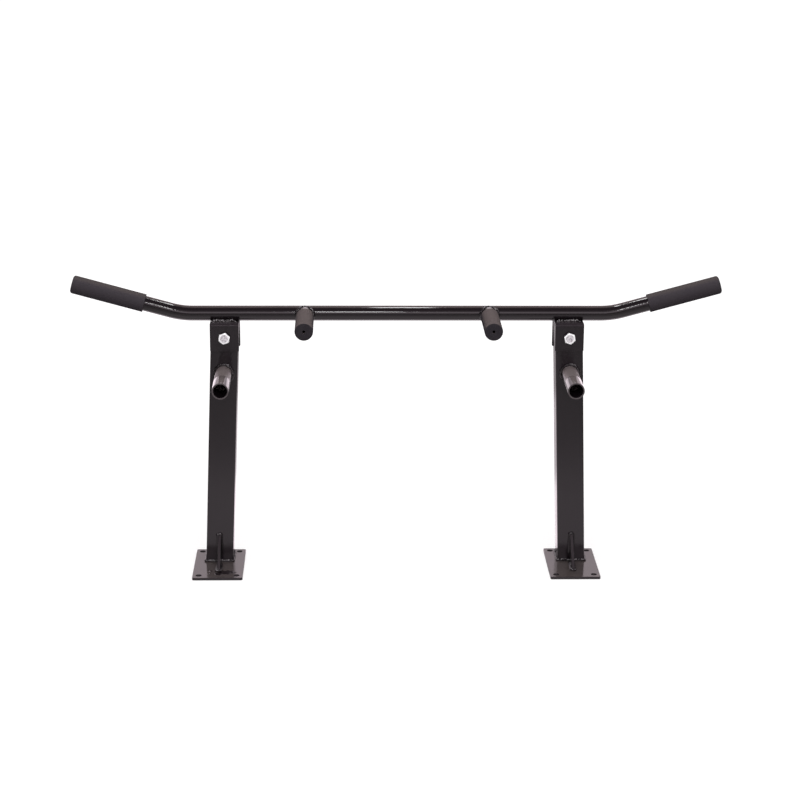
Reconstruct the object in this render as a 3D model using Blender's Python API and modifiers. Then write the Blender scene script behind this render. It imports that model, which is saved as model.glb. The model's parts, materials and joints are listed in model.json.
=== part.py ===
"""Wall-mounted pull-up bar, standing on its two wall plates.

Metres. +Z points away from the wall, +X to the right along the bar, and the user is at -Y.
A bent bar with foam grips is welded on two bent saddles. One bolt through each saddle holds a
square arm, which ends in a flat wall plate with a gusset and carries an open tube socket.
"""
import math

import bmesh
import bpy
from mathutils import Matrix, Vector

# Clearances
SEAT_GAP = 0.0003        # left between two pieces that touch
SIDE_PLAY = 0.0004       # between an arm and each flap of its saddle
BOLT_PLAY = 0.0005       # radial play of a bolt in the holes that it passes
SWING_GAP = 0.0003       # left under the saddle when an arm stands at its outer stop

# Bar and handles, round steel tube
TUBE_DIAMETER = 0.027
TUBE_WALL = 0.0026
BAR_HEIGHT = 0.475       # bar axis above the wall face
BAR_BEND_X = 0.390       # where the straight middle and a bent end would meet
BAR_BEND_ANGLE = math.radians(15.4)
BAR_BEND_RADIUS = 0.150
BAR_END_LENGTH = 0.200   # from the bend point to the end of the tube
HANDLE_X = 0.1667
HANDLE_REACH = 0.1335    # bar axis to the end of the handle tube

# Foam grips
GRIP_DIAMETER = 0.032
GRIP_END_WALL = 0.003
GRIP_EDGE = 0.0022       # rounding of the closed end
GRIP_VENT = 0.005        # diameter of the small hole in the closed end
BAR_GRIP_LENGTH = 0.134
HANDLE_BARE = 0.003      # bare tube between a handle's bead and its grip

# Saddles, flat steel bent over the arms
SADDLE_X = 0.312
SADDLE_WIDTH = 0.052
SADDLE_STEEL = 0.004
SADDLE_DROP = 0.0505     # front flap's height, from the top of the saddle
SADDLE_BACK_EXTRA = 0.0045  # by which the back flap is longer
SADDLE_BEND = 0.005      # outer bend radius
SADDLE_CORNER = 0.003

# Arms, square steel tube
ARM_SIZE = 0.050
ARM_WALL = 0.0025
ARM_CORNER = 0.004
ARM_FLARE = math.radians(2.1)

# Pivot bolts, washers and lock nuts
BOLT_DIAMETER = 0.012
BOLT_LENGTH = 0.080
BOLT_DROP = 0.025        # below the top of the saddle
HEX_FLATS = 0.019
HEAD_HEIGHT = 0.0075
HEX_FACE = 0.0178        # round face left by the chamfer on the corners
HEX_CHAMFER = math.radians(30)
HEX_TURN = math.radians(11)  # top corner of each bolt head, from upright towards the middle
WASHER_DIAMETER = 0.024
WASHER_THICKNESS = 0.0025
NUT_HEIGHT = 0.0080      # hexagon of the lock nut
NUT_COLLAR = 0.0040      # round collar behind the hexagon
COLLAR_DIAMETER = 0.0165

# Sockets, round tube on the arms' front faces
SOCKET_DIAMETER = 0.030
SOCKET_WALL = 0.0025
SOCKET_LENGTH = 0.1165
SOCKET_DROP = 0.068      # below the bolt
SOCKET_EDGE = 0.0004

# Wall plates
PLATE_WIDTH = 0.092
PLATE_FRONT = 0.085      # in front of the arm
PLATE_BACK = 0.015       # behind the arm
PLATE_THICKNESS = 0.005
PLATE_CORNER = 0.003
HOLE_DIAMETER = 0.0105
HOLE_INSET_X = 0.0115
HOLE_INSET_Y = 0.0125

# Gussets
GUSSET_HEIGHT = 0.052
GUSSET_REACH = 0.052
GUSSET_THICKNESS = 0.005
GUSSET_TIP = 0.004       # width of its blunt tips

# Weld beads, by radius
FOOT_BEAD = 0.0025
GUSSET_BEAD = 0.0019
SOCKET_BEAD = 0.0020
HANDLE_BEAD = 0.0022
SADDLE_BEAD = 0.0026
BEAD_PITCH = 0.0055      # from one ripple to the next
GUSSET_PITCH = 0.0040    # closer ripples, which follow the bead's tight turn
BEAD_DIP = 0.80          # radius between ripples, over the full radius
BEAD_LIFT = 0.0006       # rounds the handle bead where it crosses the bar's crown

# Roundness of the solids
ROUND_STEPS = 24
HOLE_STEPS = 16
CORNER_STEPS = 4
BEND_STEPS = 6
BEAD_SIDES = 6

# Reach of cutters past what they cut
OVERCUT = 0.004

# Places that follow from the sizes
SADDLE_TOP = BAR_HEIGHT - TUBE_DIAMETER / 2 - SEAT_GAP
SADDLE_HALF_DEPTH = ARM_SIZE / 2 + SIDE_PLAY + SADDLE_STEEL
BOLT_HEIGHT = SADDLE_TOP - BOLT_DROP
BOLT_REACH = BOLT_LENGTH - SADDLE_HALF_DEPTH - SEAT_GAP
PLATE_TOP = PLATE_THICKNESS - BOLT_HEIGHT
ARM_LEAN = ARM_SIZE / 2 * math.sin(ARM_FLARE)
ARM_TOP = (BOLT_DROP - SADDLE_STEEL - SWING_GAP - ARM_LEAN) / math.cos(ARM_FLARE)
SOCKET_REACH = ARM_SIZE / 2 + SEAT_GAP + SOCKET_LENGTH
HANDLE_BEAD_REACH = TUBE_DIAMETER / 2 + SEAT_GAP + 2 * HANDLE_BEAD + BEAD_LIFT
HANDLE_GRIP_REACH = HANDLE_REACH + SEAT_GAP + GRIP_END_WALL
HANDLE_GRIP_LENGTH = HANDLE_GRIP_REACH - HANDLE_BEAD_REACH - HANDLE_BARE
FRONT_REACH = max(SOCKET_REACH, HANDLE_GRIP_REACH, ARM_SIZE / 2 + PLATE_FRONT)
BACK_REACH = max(BOLT_REACH, ARM_SIZE / 2 + PLATE_BACK)
ARM_Y = (FRONT_REACH - BACK_REACH) / 2

# Sides of the object, with their names
SIDES = {"left": -1, "right": 1}

# Finishes: colour, roughness, metallic
FINISHES = {
    "black_gloss_paint": ((0.014, 0.012, 0.013), 0.22, 0.0),
    "black_satin_paint": ((0.016, 0.013, 0.015), 0.38, 0.0),
    "zinc_plating": ((0.62, 0.60, 0.62), 0.30, 1.0),
    "black_foam": ((0.030, 0.027, 0.029), 0.85, 0.0),
}


def clear_scene():
    """Remove every object, so the script can be run again in the same file."""
    for old in list(bpy.data.objects):
        bpy.data.objects.remove(old, do_unlink=True)


def make_collection(name):
    """New collection under the scene's own."""
    collection = bpy.data.collections.new(name)
    bpy.context.scene.collection.children.link(collection)
    return collection


def finish(name):
    """Principled material of that name, made once."""
    if name in bpy.data.materials:
        return bpy.data.materials[name]
    colour, roughness, metallic = FINISHES[name]
    material = bpy.data.materials.new(name)
    material.use_nodes = True
    shader = material.node_tree.nodes["Principled BSDF"]
    shader.inputs["Base Color"].default_value = (*colour, 1.0)
    shader.inputs["Roughness"].default_value = roughness
    shader.inputs["Metallic"].default_value = metallic
    material.diffuse_color = (*colour, 1.0)
    return material


def add_empty(name, location):
    """Empty that carries the pieces of one body."""
    empty = bpy.data.objects.new(name, None)
    empty.location = location
    empty.empty_display_size = 0.03
    PARTS.objects.link(empty)
    return empty


def add_piece(mesh, finish_name, parent, location=(0, 0, 0), rotation=(0, 0, 0)):
    """One sub-part, under the name of its mesh."""
    piece = bpy.data.objects.new(mesh.name, mesh)
    piece.location = location
    piece.rotation_euler = rotation
    piece.parent = parent
    PARTS.objects.link(piece)
    mesh.materials.append(finish(finish_name))
    mesh.shade_smooth()
    mesh.set_sharp_from_angle(angle=math.radians(35))
    return piece


def add_cutter(mesh, parent, location=(0, 0, 0), rotation=(0, 0, 0)):
    """Shape that only a Boolean uses."""
    cutter = bpy.data.objects.new(mesh.name, mesh)
    cutter.location = location
    cutter.rotation_euler = rotation
    cutter.parent = parent
    cutter.hide_render = True
    cutter.display_type = "WIRE"
    CUTTERS.objects.link(cutter)
    return cutter


def combine(piece, cutter, operation="DIFFERENCE"):
    """Boolean of a piece with a cutter."""
    modifier = piece.modifiers.new(cutter.name, "BOOLEAN")
    modifier.object = cutter
    modifier.operation = operation


def mesh_from_curve(curve):
    """Welded mesh of a curve's evaluated surface; the curve is removed."""
    name = curve.name
    holder = bpy.data.objects.new(name, curve)
    bpy.context.scene.collection.objects.link(holder)
    evaluated = holder.evaluated_get(bpy.context.evaluated_depsgraph_get())
    mesh = bpy.data.meshes.new_from_object(evaluated)
    bpy.data.objects.remove(holder)
    bpy.data.curves.remove(curve)
    shape = bmesh.new()
    shape.from_mesh(mesh)
    bmesh.ops.remove_doubles(shape, verts=shape.verts, dist=0.00001)
    bmesh.ops.recalc_face_normals(shape, faces=shape.faces)
    shape.to_mesh(mesh)
    shape.free()
    mesh.name = name
    return mesh


def flat_mesh(name, loops, thickness):
    """Flat outline with holes in the local XY plane, thickened evenly to both sides."""
    curve = bpy.data.curves.new(name, "CURVE")
    curve.dimensions = "2D"
    curve.fill_mode = "BOTH"
    curve.extrude = thickness / 2
    for loop in loops:
        spline = curve.splines.new("POLY")
        spline.points.add(len(loop) - 1)
        for point, (x, y) in zip(spline.points, loop):
            point.co = (x, y, 0, 1)
        spline.use_cyclic_u = True
    return mesh_from_curve(curve)


def swept_mesh(name, points, radius, sides, closed=False, capped=True, swell=None):
    """Round section along points, with a factor on the radius at each point."""
    curve = bpy.data.curves.new(name, "CURVE")
    curve.dimensions = "3D"
    curve.bevel_depth = radius
    curve.bevel_resolution = (sides - 4) // 2
    curve.use_fill_caps = capped and not closed
    curve.render_resolution_u = 0
    spline = curve.splines.new("POLY")
    spline.points.add(len(points) - 1)
    for index, (point, place) in enumerate(zip(spline.points, points)):
        point.co = (*place, 1)
        point.radius = swell[index] if swell else 1.0
    spline.use_cyclic_u = closed
    return mesh_from_curve(curve)


def cylinder_mesh(name, radius, low, high, steps=ROUND_STEPS):
    """Cylinder or prism about the local Z axis, from low to high."""
    mesh = bpy.data.meshes.new(name)
    shape = bmesh.new()
    bmesh.ops.create_cone(shape, cap_ends=True, segments=steps, radius1=radius, radius2=radius,
                          depth=high - low)
    bmesh.ops.translate(shape, verts=shape.verts, vec=(0, 0, (low + high) / 2))
    shape.to_mesh(mesh)
    shape.free()
    return mesh


def box_mesh(name, low, high):
    """Box between two corners."""
    mesh = bpy.data.meshes.new(name)
    shape = bmesh.new()
    bmesh.ops.create_cube(shape, size=1)
    size = Vector(high) - Vector(low)
    bmesh.ops.scale(shape, verts=shape.verts, vec=size)
    bmesh.ops.translate(shape, verts=shape.verts, vec=Vector(low) + size / 2)
    shape.to_mesh(mesh)
    shape.free()
    return mesh


def profile_mesh(name, profile):
    """Closed wire of (radius, height) points, its outer side running top to bottom."""
    mesh = bpy.data.meshes.new(name)
    shape = bmesh.new()
    corners = [shape.verts.new((radius, 0, height)) for radius, height in profile]
    for corner, following in zip(corners, corners[1:] + corners[:1]):
        shape.edges.new((corner, following))
    shape.to_mesh(mesh)
    shape.free()
    return mesh


def turn(piece, steps=ROUND_STEPS):
    """Turn a piece's profile about its own Z axis."""
    screw = piece.modifiers.new("Turn", "SCREW")
    screw.steps = steps
    screw.render_steps = steps
    screw.use_merge_vertices = True
    screw.merge_threshold = 0.00001


def rounded(corners):
    """Outline through (x, y, radius) corners, each rounded by an arc of its radius."""
    points = []
    for index, (x, y, radius) in enumerate(corners):
        corner = Vector((x, y))
        if radius == 0:
            points.append(corner)
            continue
        back = (Vector(corners[index - 1][:2]) - corner).normalized()
        ahead = (Vector(corners[(index + 1) % len(corners)][:2]) - corner).normalized()
        half = back.angle(ahead) / 2
        centre = corner + (back + ahead).normalized() * radius / math.sin(half)
        start = corner + back * radius / math.tan(half) - centre
        end = corner + ahead * radius / math.tan(half) - centre
        first = math.atan2(start.y, start.x)
        sweep = math.remainder(math.atan2(end.y, end.x) - first, math.tau)
        for step in range(CORNER_STEPS + 1):
            angle = first + sweep * step / CORNER_STEPS
            points.append(centre + Vector((math.cos(angle), math.sin(angle))) * radius)
    return points


def circle(radius, steps, centre=(0, 0)):
    """Points round a circle."""
    angles = [math.tau * step / steps for step in range(steps)]
    return [Vector((centre[0] + radius * math.cos(a), centre[1] + radius * math.sin(a)))
            for a in angles]


def rectangle(width, depth, corner):
    """Rounded rectangle about the origin."""
    x, y = width / 2, depth / 2
    return rounded([(-x, -y, corner), (x, -y, corner), (x, y, corner), (-x, y, corner)])


def tube_profile(outer, wall, low, high, edge=0.0):
    """Wall of a straight tube, with an outer chamfer at its high end."""
    inner = outer - wall
    top = [(outer - edge, high), (outer, high - edge)] if edge else [(outer, high)]
    return top + [(outer, low), (inner, low), (inner, high)]


def upright(points):
    """Points of a flat path stood up, from the XY plane into the XZ plane."""
    return [Vector((point.x, 0, point.y)) for point in points]


def level(points):
    """Points of a flat path as points in space."""
    return [Vector((point.x, point.y, 0)) for point in points]


def spread(path, closed, pitch):
    """Even number of equal steps along a path, two for each ripple of a bead."""
    track = path + path[:1] if closed else path
    spans = [(b - a).length for a, b in zip(track, track[1:])]
    total = sum(spans)
    steps = 2 * max(2, round(total / pitch))
    points = []
    for step in range(steps if closed else steps + 1):
        distance = total * step / steps
        index = 0
        while index < len(spans) - 1 and distance > spans[index]:
            distance -= spans[index]
            index += 1
        points.append(track[index].lerp(track[index + 1], min(1.0, distance / spans[index])))
    return points


def weld_bead(name, path, radius, parent, location, closed=False, pitch=BEAD_PITCH):
    """Rippled weld bead whose middle follows a path."""
    points = spread(path, closed, pitch)
    swell = [1.0 if step % 2 else BEAD_DIP for step in range(len(points))]
    mesh = swept_mesh(name, points, radius, BEAD_SIDES, closed=closed, swell=swell)
    return add_piece(mesh, "black_gloss_paint", parent, location)


def bar_line():
    """Middle line of the bar, from its left end to its right end."""
    tangent = BAR_BEND_RADIUS * math.tan(BAR_BEND_ANGLE / 2)
    right = [Vector((BAR_BEND_X - tangent, 0, 0))]
    for step in range(1, BEND_STEPS + 1):
        angle = BAR_BEND_ANGLE * step / BEND_STEPS
        right.append(right[0] + BAR_BEND_RADIUS * Vector((math.sin(angle), 0, 1 - math.cos(angle))))
    right.append(Vector((BAR_BEND_X, 0, 0)) + BAR_END_LENGTH * end_direction(1))
    left = [Vector((-point.x, 0, point.z)) for point in reversed(right)]
    return left + right


def end_direction(side):
    """Direction of a bent end of the bar, outwards."""
    return Vector((side * math.cos(BAR_BEND_ANGLE), 0, math.sin(BAR_BEND_ANGLE)))


def build_bar(frame):
    """The bent bar: an open swept surface, given its wall inwards."""
    mesh = swept_mesh("pull_up_bar", bar_line(), TUBE_DIAMETER / 2, ROUND_STEPS, capped=False)
    bar = add_piece(mesh, "black_gloss_paint", frame)
    wall = bar.modifiers.new("Wall", "SOLIDIFY")
    wall.thickness = TUBE_WALL
    wall.offset = -1


def build_grip(name, length, frame, tube_end, rotation):
    """Foam sleeve with a rounded, closed and vented end, pushed on a tube's end."""
    outer = GRIP_DIAMETER / 2
    bore = TUBE_DIAMETER / 2 + SEAT_GAP
    vent = GRIP_VENT / 2
    face = SEAT_GAP + GRIP_END_WALL
    open_end = face - length
    edge = [(outer - GRIP_EDGE * (1 - math.sin(angle)), face - GRIP_EDGE * (1 - math.cos(angle)))
            for angle in (math.pi / 2 * step / CORNER_STEPS for step in range(CORNER_STEPS + 1))]
    profile = edge + [(outer, open_end), (bore, open_end), (bore, SEAT_GAP), (vent, SEAT_GAP),
                      (vent, face)]
    grip = add_piece(profile_mesh(name, profile), "black_foam", frame, tube_end, rotation)
    turn(grip)


def build_bar_grips(frame):
    """Foam grips on the bar's bent ends."""
    for side_name, side in SIDES.items():
        tube_end = Vector((side * BAR_BEND_X, 0, 0)) + BAR_END_LENGTH * end_direction(side)
        rotation = (0, side * (math.pi / 2 - BAR_BEND_ANGLE), 0)
        build_grip(f"bar_grip_{side_name}", BAR_GRIP_LENGTH, frame, tube_end, rotation)


def build_handle(side_name, side, frame):
    """Handle tube coped round the bar, its grip and the bead round its root."""
    radius = TUBE_DIAMETER / 2
    place = Vector((side * HANDLE_X, 0, 0))
    to_user = (math.pi / 2, 0, 0)
    profile = tube_profile(radius, TUBE_WALL, 0, HANDLE_REACH)
    tube = add_piece(profile_mesh(f"handle_tube_{side_name}", profile), "black_gloss_paint",
                     frame, place, to_user)
    turn(tube)
    cope = cylinder_mesh(f"handle_cope_{side_name}", radius + SEAT_GAP, -TUBE_DIAMETER,
                         TUBE_DIAMETER)
    combine(tube, add_cutter(cope, frame, place, (0, math.pi / 2, 0)))
    build_grip(f"handle_grip_{side_name}", HANDLE_GRIP_LENGTH, frame,
               place + Vector((0, -HANDLE_REACH, 0)), to_user)
    about_handle = radius + SEAT_GAP + HANDLE_BEAD
    about_bar = about_handle + BEAD_LIFT
    seam = []
    for step in range(2 * ROUND_STEPS):
        angle = math.pi * step / ROUND_STEPS
        height = about_handle * math.sin(angle)
        reach = math.sqrt(about_bar ** 2 - height ** 2)
        seam.append(Vector((about_handle * math.cos(angle), -reach, height)))
    weld_bead(f"handle_weld_{side_name}", seam, HANDLE_BEAD, frame, place, closed=True)


def build_saddle(side_name, side, frame):
    """Flat steel bent down over the arm, with the beads that hold it under the bar."""
    outer = SADDLE_HALF_DEPTH
    inner = outer - SADDLE_STEEL
    inner_bend = max(SADDLE_BEND - SADDLE_STEEL, SIDE_PLAY)
    back_drop = SADDLE_DROP + SADDLE_BACK_EXTRA
    low = -back_drop - OVERCUT
    section = rounded([
        (-outer, low, 0), (-outer, 0, SADDLE_BEND), (outer, 0, SADDLE_BEND), (outer, low, 0),
        (inner, low, 0), (inner, -SADDLE_STEEL, inner_bend),
        (-inner, -SADDLE_STEEL, inner_bend), (-inner, low, 0)])
    place = Vector((side * SADDLE_X, 0, SADDLE_TOP - BAR_HEIGHT))
    along_bar = (math.pi / 2, 0, math.pi / 2)
    saddle = add_piece(flat_mesh(f"saddle_{side_name}", [section], SADDLE_WIDTH + 2 * OVERCUT),
                       "black_satin_paint", frame, place, along_bar)
    half = SADDLE_WIDTH / 2
    front_view = rounded([(-half, OVERCUT, 0), (-half, -back_drop, SADDLE_CORNER),
                          (half, -back_drop, SADDLE_CORNER), (half, OVERCUT, 0)])
    bolt_hole = circle(BOLT_DIAMETER / 2 + BOLT_PLAY, HOLE_STEPS, (0, -BOLT_DROP))
    blank = flat_mesh(f"saddle_blank_{side_name}", [front_view, bolt_hole],
                      2 * (outer + OVERCUT))
    combine(saddle, add_cutter(blank, frame, place, (math.pi / 2, 0, 0)), "INTERSECT")
    wide = half + OVERCUT
    shoulder = SADDLE_CORNER - SADDLE_DROP
    below_front = rounded([
        (-wide, low, 0), (wide, low, 0), (wide, shoulder, 0), (half, shoulder, 0),
        (half, -SADDLE_DROP, SADDLE_CORNER), (-half, -SADDLE_DROP, SADDLE_CORNER),
        (-half, shoulder, 0), (-wide, shoulder, 0)])
    trim = flat_mesh(f"saddle_trim_{side_name}", [below_front], 2 * outer)
    combine(saddle, add_cutter(trim, frame, place - Vector((0, outer, 0)), (math.pi / 2, 0, 0)))
    rise = SADDLE_BEAD + SEAT_GAP
    about_bar = TUBE_DIAMETER / 2 + rise
    offset = math.sqrt(about_bar ** 2 - (about_bar - 2 * rise + SEAT_GAP) ** 2)
    inset = half - SADDLE_BEAD
    for face, direction in (("front", -1), ("back", 1)):
        line = [Vector((-inset, direction * offset, rise)), Vector((inset, direction * offset, rise))]
        weld_bead(f"saddle_weld_{face}_{side_name}", line, SADDLE_BEAD, frame, place)


def hex_chamfer(name, top, parent, location, rotation):
    """Ring that chamfers the corners of a hexagon whose face is at a height."""
    inner = HEX_FACE / 2
    outer = HEX_FLATS / math.sqrt(3) + OVERCUT
    fall = (outer - inner) * math.tan(HEX_CHAMFER)
    profile = [(outer, top + OVERCUT), (outer, top - fall), (inner, top), (inner, top + OVERCUT)]
    ring = add_cutter(profile_mesh(name, profile), parent, location, rotation)
    turn(ring)
    return ring


def build_fasteners(side_name, side, frame):
    """Hex bolt with its head to the user, and a washer and lock nut at the back."""
    place = Vector((side * SADDLE_X, 0, BOLT_HEIGHT - BAR_HEIGHT))
    to_user = (math.pi / 2, 0, 0)
    to_wall_side = (-math.pi / 2, 0, 0)
    corners = HEX_FLATS / math.sqrt(3)
    seat = SADDLE_HALF_DEPTH + SEAT_GAP
    head = cylinder_mesh(f"pivot_bolt_{side_name}", corners, seat, seat + HEAD_HEIGHT, 6)
    turned = (math.pi / 2, -side * HEX_TURN, 0)
    bolt = add_piece(head, "zinc_plating", frame, place, turned)
    combine(bolt, hex_chamfer(f"bolt_chamfer_{side_name}", seat + HEAD_HEIGHT, frame, place, to_user))
    shank = cylinder_mesh(f"bolt_shank_{side_name}", BOLT_DIAMETER / 2, seat - BOLT_LENGTH,
                          seat + HEAD_HEIGHT / 2)
    combine(bolt, add_cutter(shank, frame, place, to_user), "UNION")
    bore = BOLT_DIAMETER / 2 + SEAT_GAP
    washer_top = seat + WASHER_THICKNESS
    washer_profile = tube_profile(WASHER_DIAMETER / 2, WASHER_DIAMETER / 2 - bore, seat, washer_top)
    washer = add_piece(profile_mesh(f"nut_washer_{side_name}", washer_profile), "zinc_plating",
                       frame, place, to_wall_side)
    turn(washer)
    nut_low = washer_top + SEAT_GAP
    nut_top = nut_low + NUT_HEIGHT
    nut = add_piece(cylinder_mesh(f"lock_nut_{side_name}", corners, nut_low, nut_top, 6),
                    "zinc_plating", frame, place, to_wall_side)
    combine(nut, hex_chamfer(f"nut_chamfer_{side_name}", nut_top, frame, place, to_wall_side))
    collar = cylinder_mesh(f"nut_collar_{side_name}", COLLAR_DIAMETER / 2,
                           nut_top - NUT_HEIGHT / 2, nut_top + NUT_COLLAR)
    combine(nut, add_cutter(collar, frame, place, to_wall_side), "UNION")
    hole = cylinder_mesh(f"nut_bore_{side_name}", bore, nut_low - OVERCUT,
                         nut_top + NUT_COLLAR + OVERCUT)
    combine(nut, add_cutter(hole, frame, place, to_wall_side))


def arm_x(side, height):
    """Sideways place of an arm's middle line, from its bolt, at a height from the bolt."""
    return -side * height * math.tan(ARM_FLARE)


def build_arm(side_name, side, pivot):
    """Square tube that leans outwards to the wall, with its foot cut level."""
    foot = PLATE_TOP + SEAT_GAP
    length = -foot / math.cos(ARM_FLARE) + ARM_SIZE
    section = [rectangle(ARM_SIZE, ARM_SIZE, ARM_CORNER),
               rectangle(ARM_SIZE - 2 * ARM_WALL, ARM_SIZE - 2 * ARM_WALL,
                         max(ARM_CORNER - ARM_WALL, SEAT_GAP))]
    mesh = flat_mesh(f"arm_{side_name}", section, length + ARM_TOP)
    mesh.transform(Matrix.Translation((0, 0, (ARM_TOP - length) / 2)))
    arm = add_piece(mesh, "black_satin_paint", pivot, rotation=(0, -side * ARM_FLARE, 0))
    reach = ARM_SIZE + abs(arm_x(side, foot))
    below = box_mesh(f"arm_foot_cut_{side_name}", (-reach, -ARM_SIZE, foot - 2 * ARM_SIZE),
                     (reach, ARM_SIZE, foot))
    combine(arm, add_cutter(below, pivot))
    hole = cylinder_mesh(f"arm_bolt_hole_{side_name}", BOLT_DIAMETER / 2 + BOLT_PLAY, -ARM_SIZE,
                         ARM_SIZE, HOLE_STEPS)
    combine(arm, add_cutter(hole, pivot, rotation=(math.pi / 2, 0, 0)))
    height = PLATE_TOP + SEAT_GAP + FOOT_BEAD
    margin = FOOT_BEAD + SEAT_GAP
    ring = rectangle((ARM_SIZE + 2 * margin) / math.cos(ARM_FLARE), ARM_SIZE + 2 * margin,
                     ARM_CORNER + margin)
    weld_bead(f"foot_weld_{side_name}", level(ring), FOOT_BEAD, pivot,
              (arm_x(side, height), 0, height), closed=True)


def build_socket(side_name, side, pivot):
    """Open tube on the arm's front face, with the bead round its root."""
    root = ARM_SIZE / 2 + SEAT_GAP
    place = (arm_x(side, -SOCKET_DROP), 0, -SOCKET_DROP)
    profile = tube_profile(SOCKET_DIAMETER / 2, SOCKET_WALL, root, root + SOCKET_LENGTH, SOCKET_EDGE)
    socket = add_piece(profile_mesh(f"socket_tube_{side_name}", profile), "black_gloss_paint",
                       pivot, place, (math.pi / 2, 0, 0))
    turn(socket)
    ring = circle(SOCKET_DIAMETER / 2 + SEAT_GAP + SOCKET_BEAD, 2 * ROUND_STEPS)
    weld_bead(f"socket_weld_{side_name}", upright(ring), SOCKET_BEAD, pivot,
              (place[0], -root - SOCKET_BEAD, place[2]), closed=True)


def build_plate(side_name, side, pivot):
    """Wall plate with four screw holes, longer in front of the arm than behind it."""
    depth = PLATE_FRONT + ARM_SIZE + PLATE_BACK
    hole_x = PLATE_WIDTH / 2 - HOLE_INSET_X
    hole_y = depth / 2 - HOLE_INSET_Y
    loops = [rectangle(PLATE_WIDTH, depth, PLATE_CORNER)]
    loops += [circle(HOLE_DIAMETER / 2, HOLE_STEPS, (x, y))
              for x in (-hole_x, hole_x) for y in (-hole_y, hole_y)]
    place = (arm_x(side, PLATE_TOP), (PLATE_BACK - PLATE_FRONT) / 2, PLATE_TOP - PLATE_THICKNESS / 2)
    add_piece(flat_mesh(f"wall_plate_{side_name}", loops, PLATE_THICKNESS), "black_gloss_paint",
              pivot, place)


def gusset_snip():
    """Leg of the gusset's cut inner corner, which clears the foot's bead."""
    middle = FOOT_BEAD + SEAT_GAP
    return 2 * middle + math.sqrt(2) * (FOOT_BEAD + SEAT_GAP)


def gusset_bead_path(length):
    """Path up one side of the gusset, round its tip and down the other side."""
    snip = gusset_snip() + 2 * GUSSET_BEAD
    side = GUSSET_THICKNESS / 2 + SEAT_GAP + GUSSET_BEAD
    margin = SEAT_GAP + GUSSET_BEAD
    tip = length + margin
    return rounded([(-side, snip, 0), (-side, tip, margin), (side, tip, margin), (side, snip, 0)])


def build_gusset(side_name, side, pivot):
    """Triangular gusset between the arm's front face and the plate, with its two beads."""
    snip = gusset_snip()
    outline = rounded([
        (0, snip, 0), (0, GUSSET_HEIGHT, 0), (GUSSET_TIP, GUSSET_HEIGHT, 0),
        (GUSSET_REACH, GUSSET_TIP, 0), (GUSSET_REACH, 0, 0), (snip, 0, 0)])
    low = PLATE_TOP + SEAT_GAP
    front = -ARM_SIZE / 2 - SEAT_GAP
    place = Vector((arm_x(side, low + GUSSET_HEIGHT / 2), front, low))
    mirrored = [Vector((-point.x, point.y)) for point in outline]
    add_piece(flat_mesh(f"gusset_{side_name}", [mirrored], GUSSET_THICKNESS),
              "black_gloss_paint", pivot, place, (math.pi / 2, 0, math.pi / 2))
    on_plate = [Vector((point.x, -point.y, 0)) for point in gusset_bead_path(GUSSET_REACH)]
    weld_bead(f"gusset_weld_plate_{side_name}", on_plate, GUSSET_BEAD, pivot,
              place + Vector((0, 0, GUSSET_BEAD)), pitch=GUSSET_PITCH)
    on_arm = upright(gusset_bead_path(GUSSET_HEIGHT))
    weld_bead(f"gusset_weld_arm_{side_name}", on_arm, GUSSET_BEAD, pivot,
              place + Vector((0, -GUSSET_BEAD, 0)), pitch=GUSSET_PITCH)


def main():
    """Build the bar frame, then the two arms on their pivots."""
    frame = add_empty("bar_frame", (0, ARM_Y, BAR_HEIGHT))
    build_bar(frame)
    build_bar_grips(frame)
    for side_name, side in SIDES.items():
        build_handle(side_name, side, frame)
        build_saddle(side_name, side, frame)
        build_fasteners(side_name, side, frame)
        pivot = add_empty(f"{side_name}_arm_pivot", (side * SADDLE_X, ARM_Y, BOLT_HEIGHT))
        build_arm(side_name, side, pivot)
        build_socket(side_name, side, pivot)
        build_plate(side_name, side, pivot)
        build_gusset(side_name, side, pivot)


clear_scene()
PARTS = make_collection("wall_mounted_pull_up_bar")
CUTTERS = make_collection("cutters")
main()
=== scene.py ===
"""Looks of a wall-mounted pull-up bar, built round its fixed frame.

Metres, in the frame's own axes: +Z away from the wall, +X along the bar, the user at -Y.
Each sub-assembly is a class that holds its sizes, takes its places from the frame, builds its
shapes with mesh operators and dresses them in a finish.
"""
import json
import logging
import math
from collections.abc import Callable, Iterable, Sequence
from dataclasses import dataclass, field, replace
from enum import Enum
from typing import TypeAlias

import bmesh
import bpy
from mathutils import Matrix, Vector, noise


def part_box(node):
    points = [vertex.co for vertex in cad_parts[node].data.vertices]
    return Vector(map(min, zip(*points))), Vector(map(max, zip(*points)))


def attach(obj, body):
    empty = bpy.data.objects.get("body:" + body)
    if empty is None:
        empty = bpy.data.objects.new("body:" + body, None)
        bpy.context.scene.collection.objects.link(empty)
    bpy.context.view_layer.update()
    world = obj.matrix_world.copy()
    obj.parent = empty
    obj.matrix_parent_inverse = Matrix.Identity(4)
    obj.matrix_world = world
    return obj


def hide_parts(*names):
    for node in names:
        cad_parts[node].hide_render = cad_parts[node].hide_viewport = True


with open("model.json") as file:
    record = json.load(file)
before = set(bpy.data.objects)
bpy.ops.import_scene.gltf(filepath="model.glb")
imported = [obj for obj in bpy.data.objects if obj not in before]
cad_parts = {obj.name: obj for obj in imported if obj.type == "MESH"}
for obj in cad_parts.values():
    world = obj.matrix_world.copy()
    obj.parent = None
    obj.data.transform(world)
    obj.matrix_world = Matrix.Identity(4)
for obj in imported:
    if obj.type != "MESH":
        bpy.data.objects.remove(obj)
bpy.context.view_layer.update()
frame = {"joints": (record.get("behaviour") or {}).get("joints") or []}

LOG = logging.getLogger("pull_up_bar")
BAR_BODY = "bar_frame"
BAR_NODE = "pull_up_bar"
BAR_RADIUS = 0.0135
RING_STEPS = 96
Colour: TypeAlias = tuple[float, float, float]
Corner: TypeAlias = tuple[float, float, float]
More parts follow.
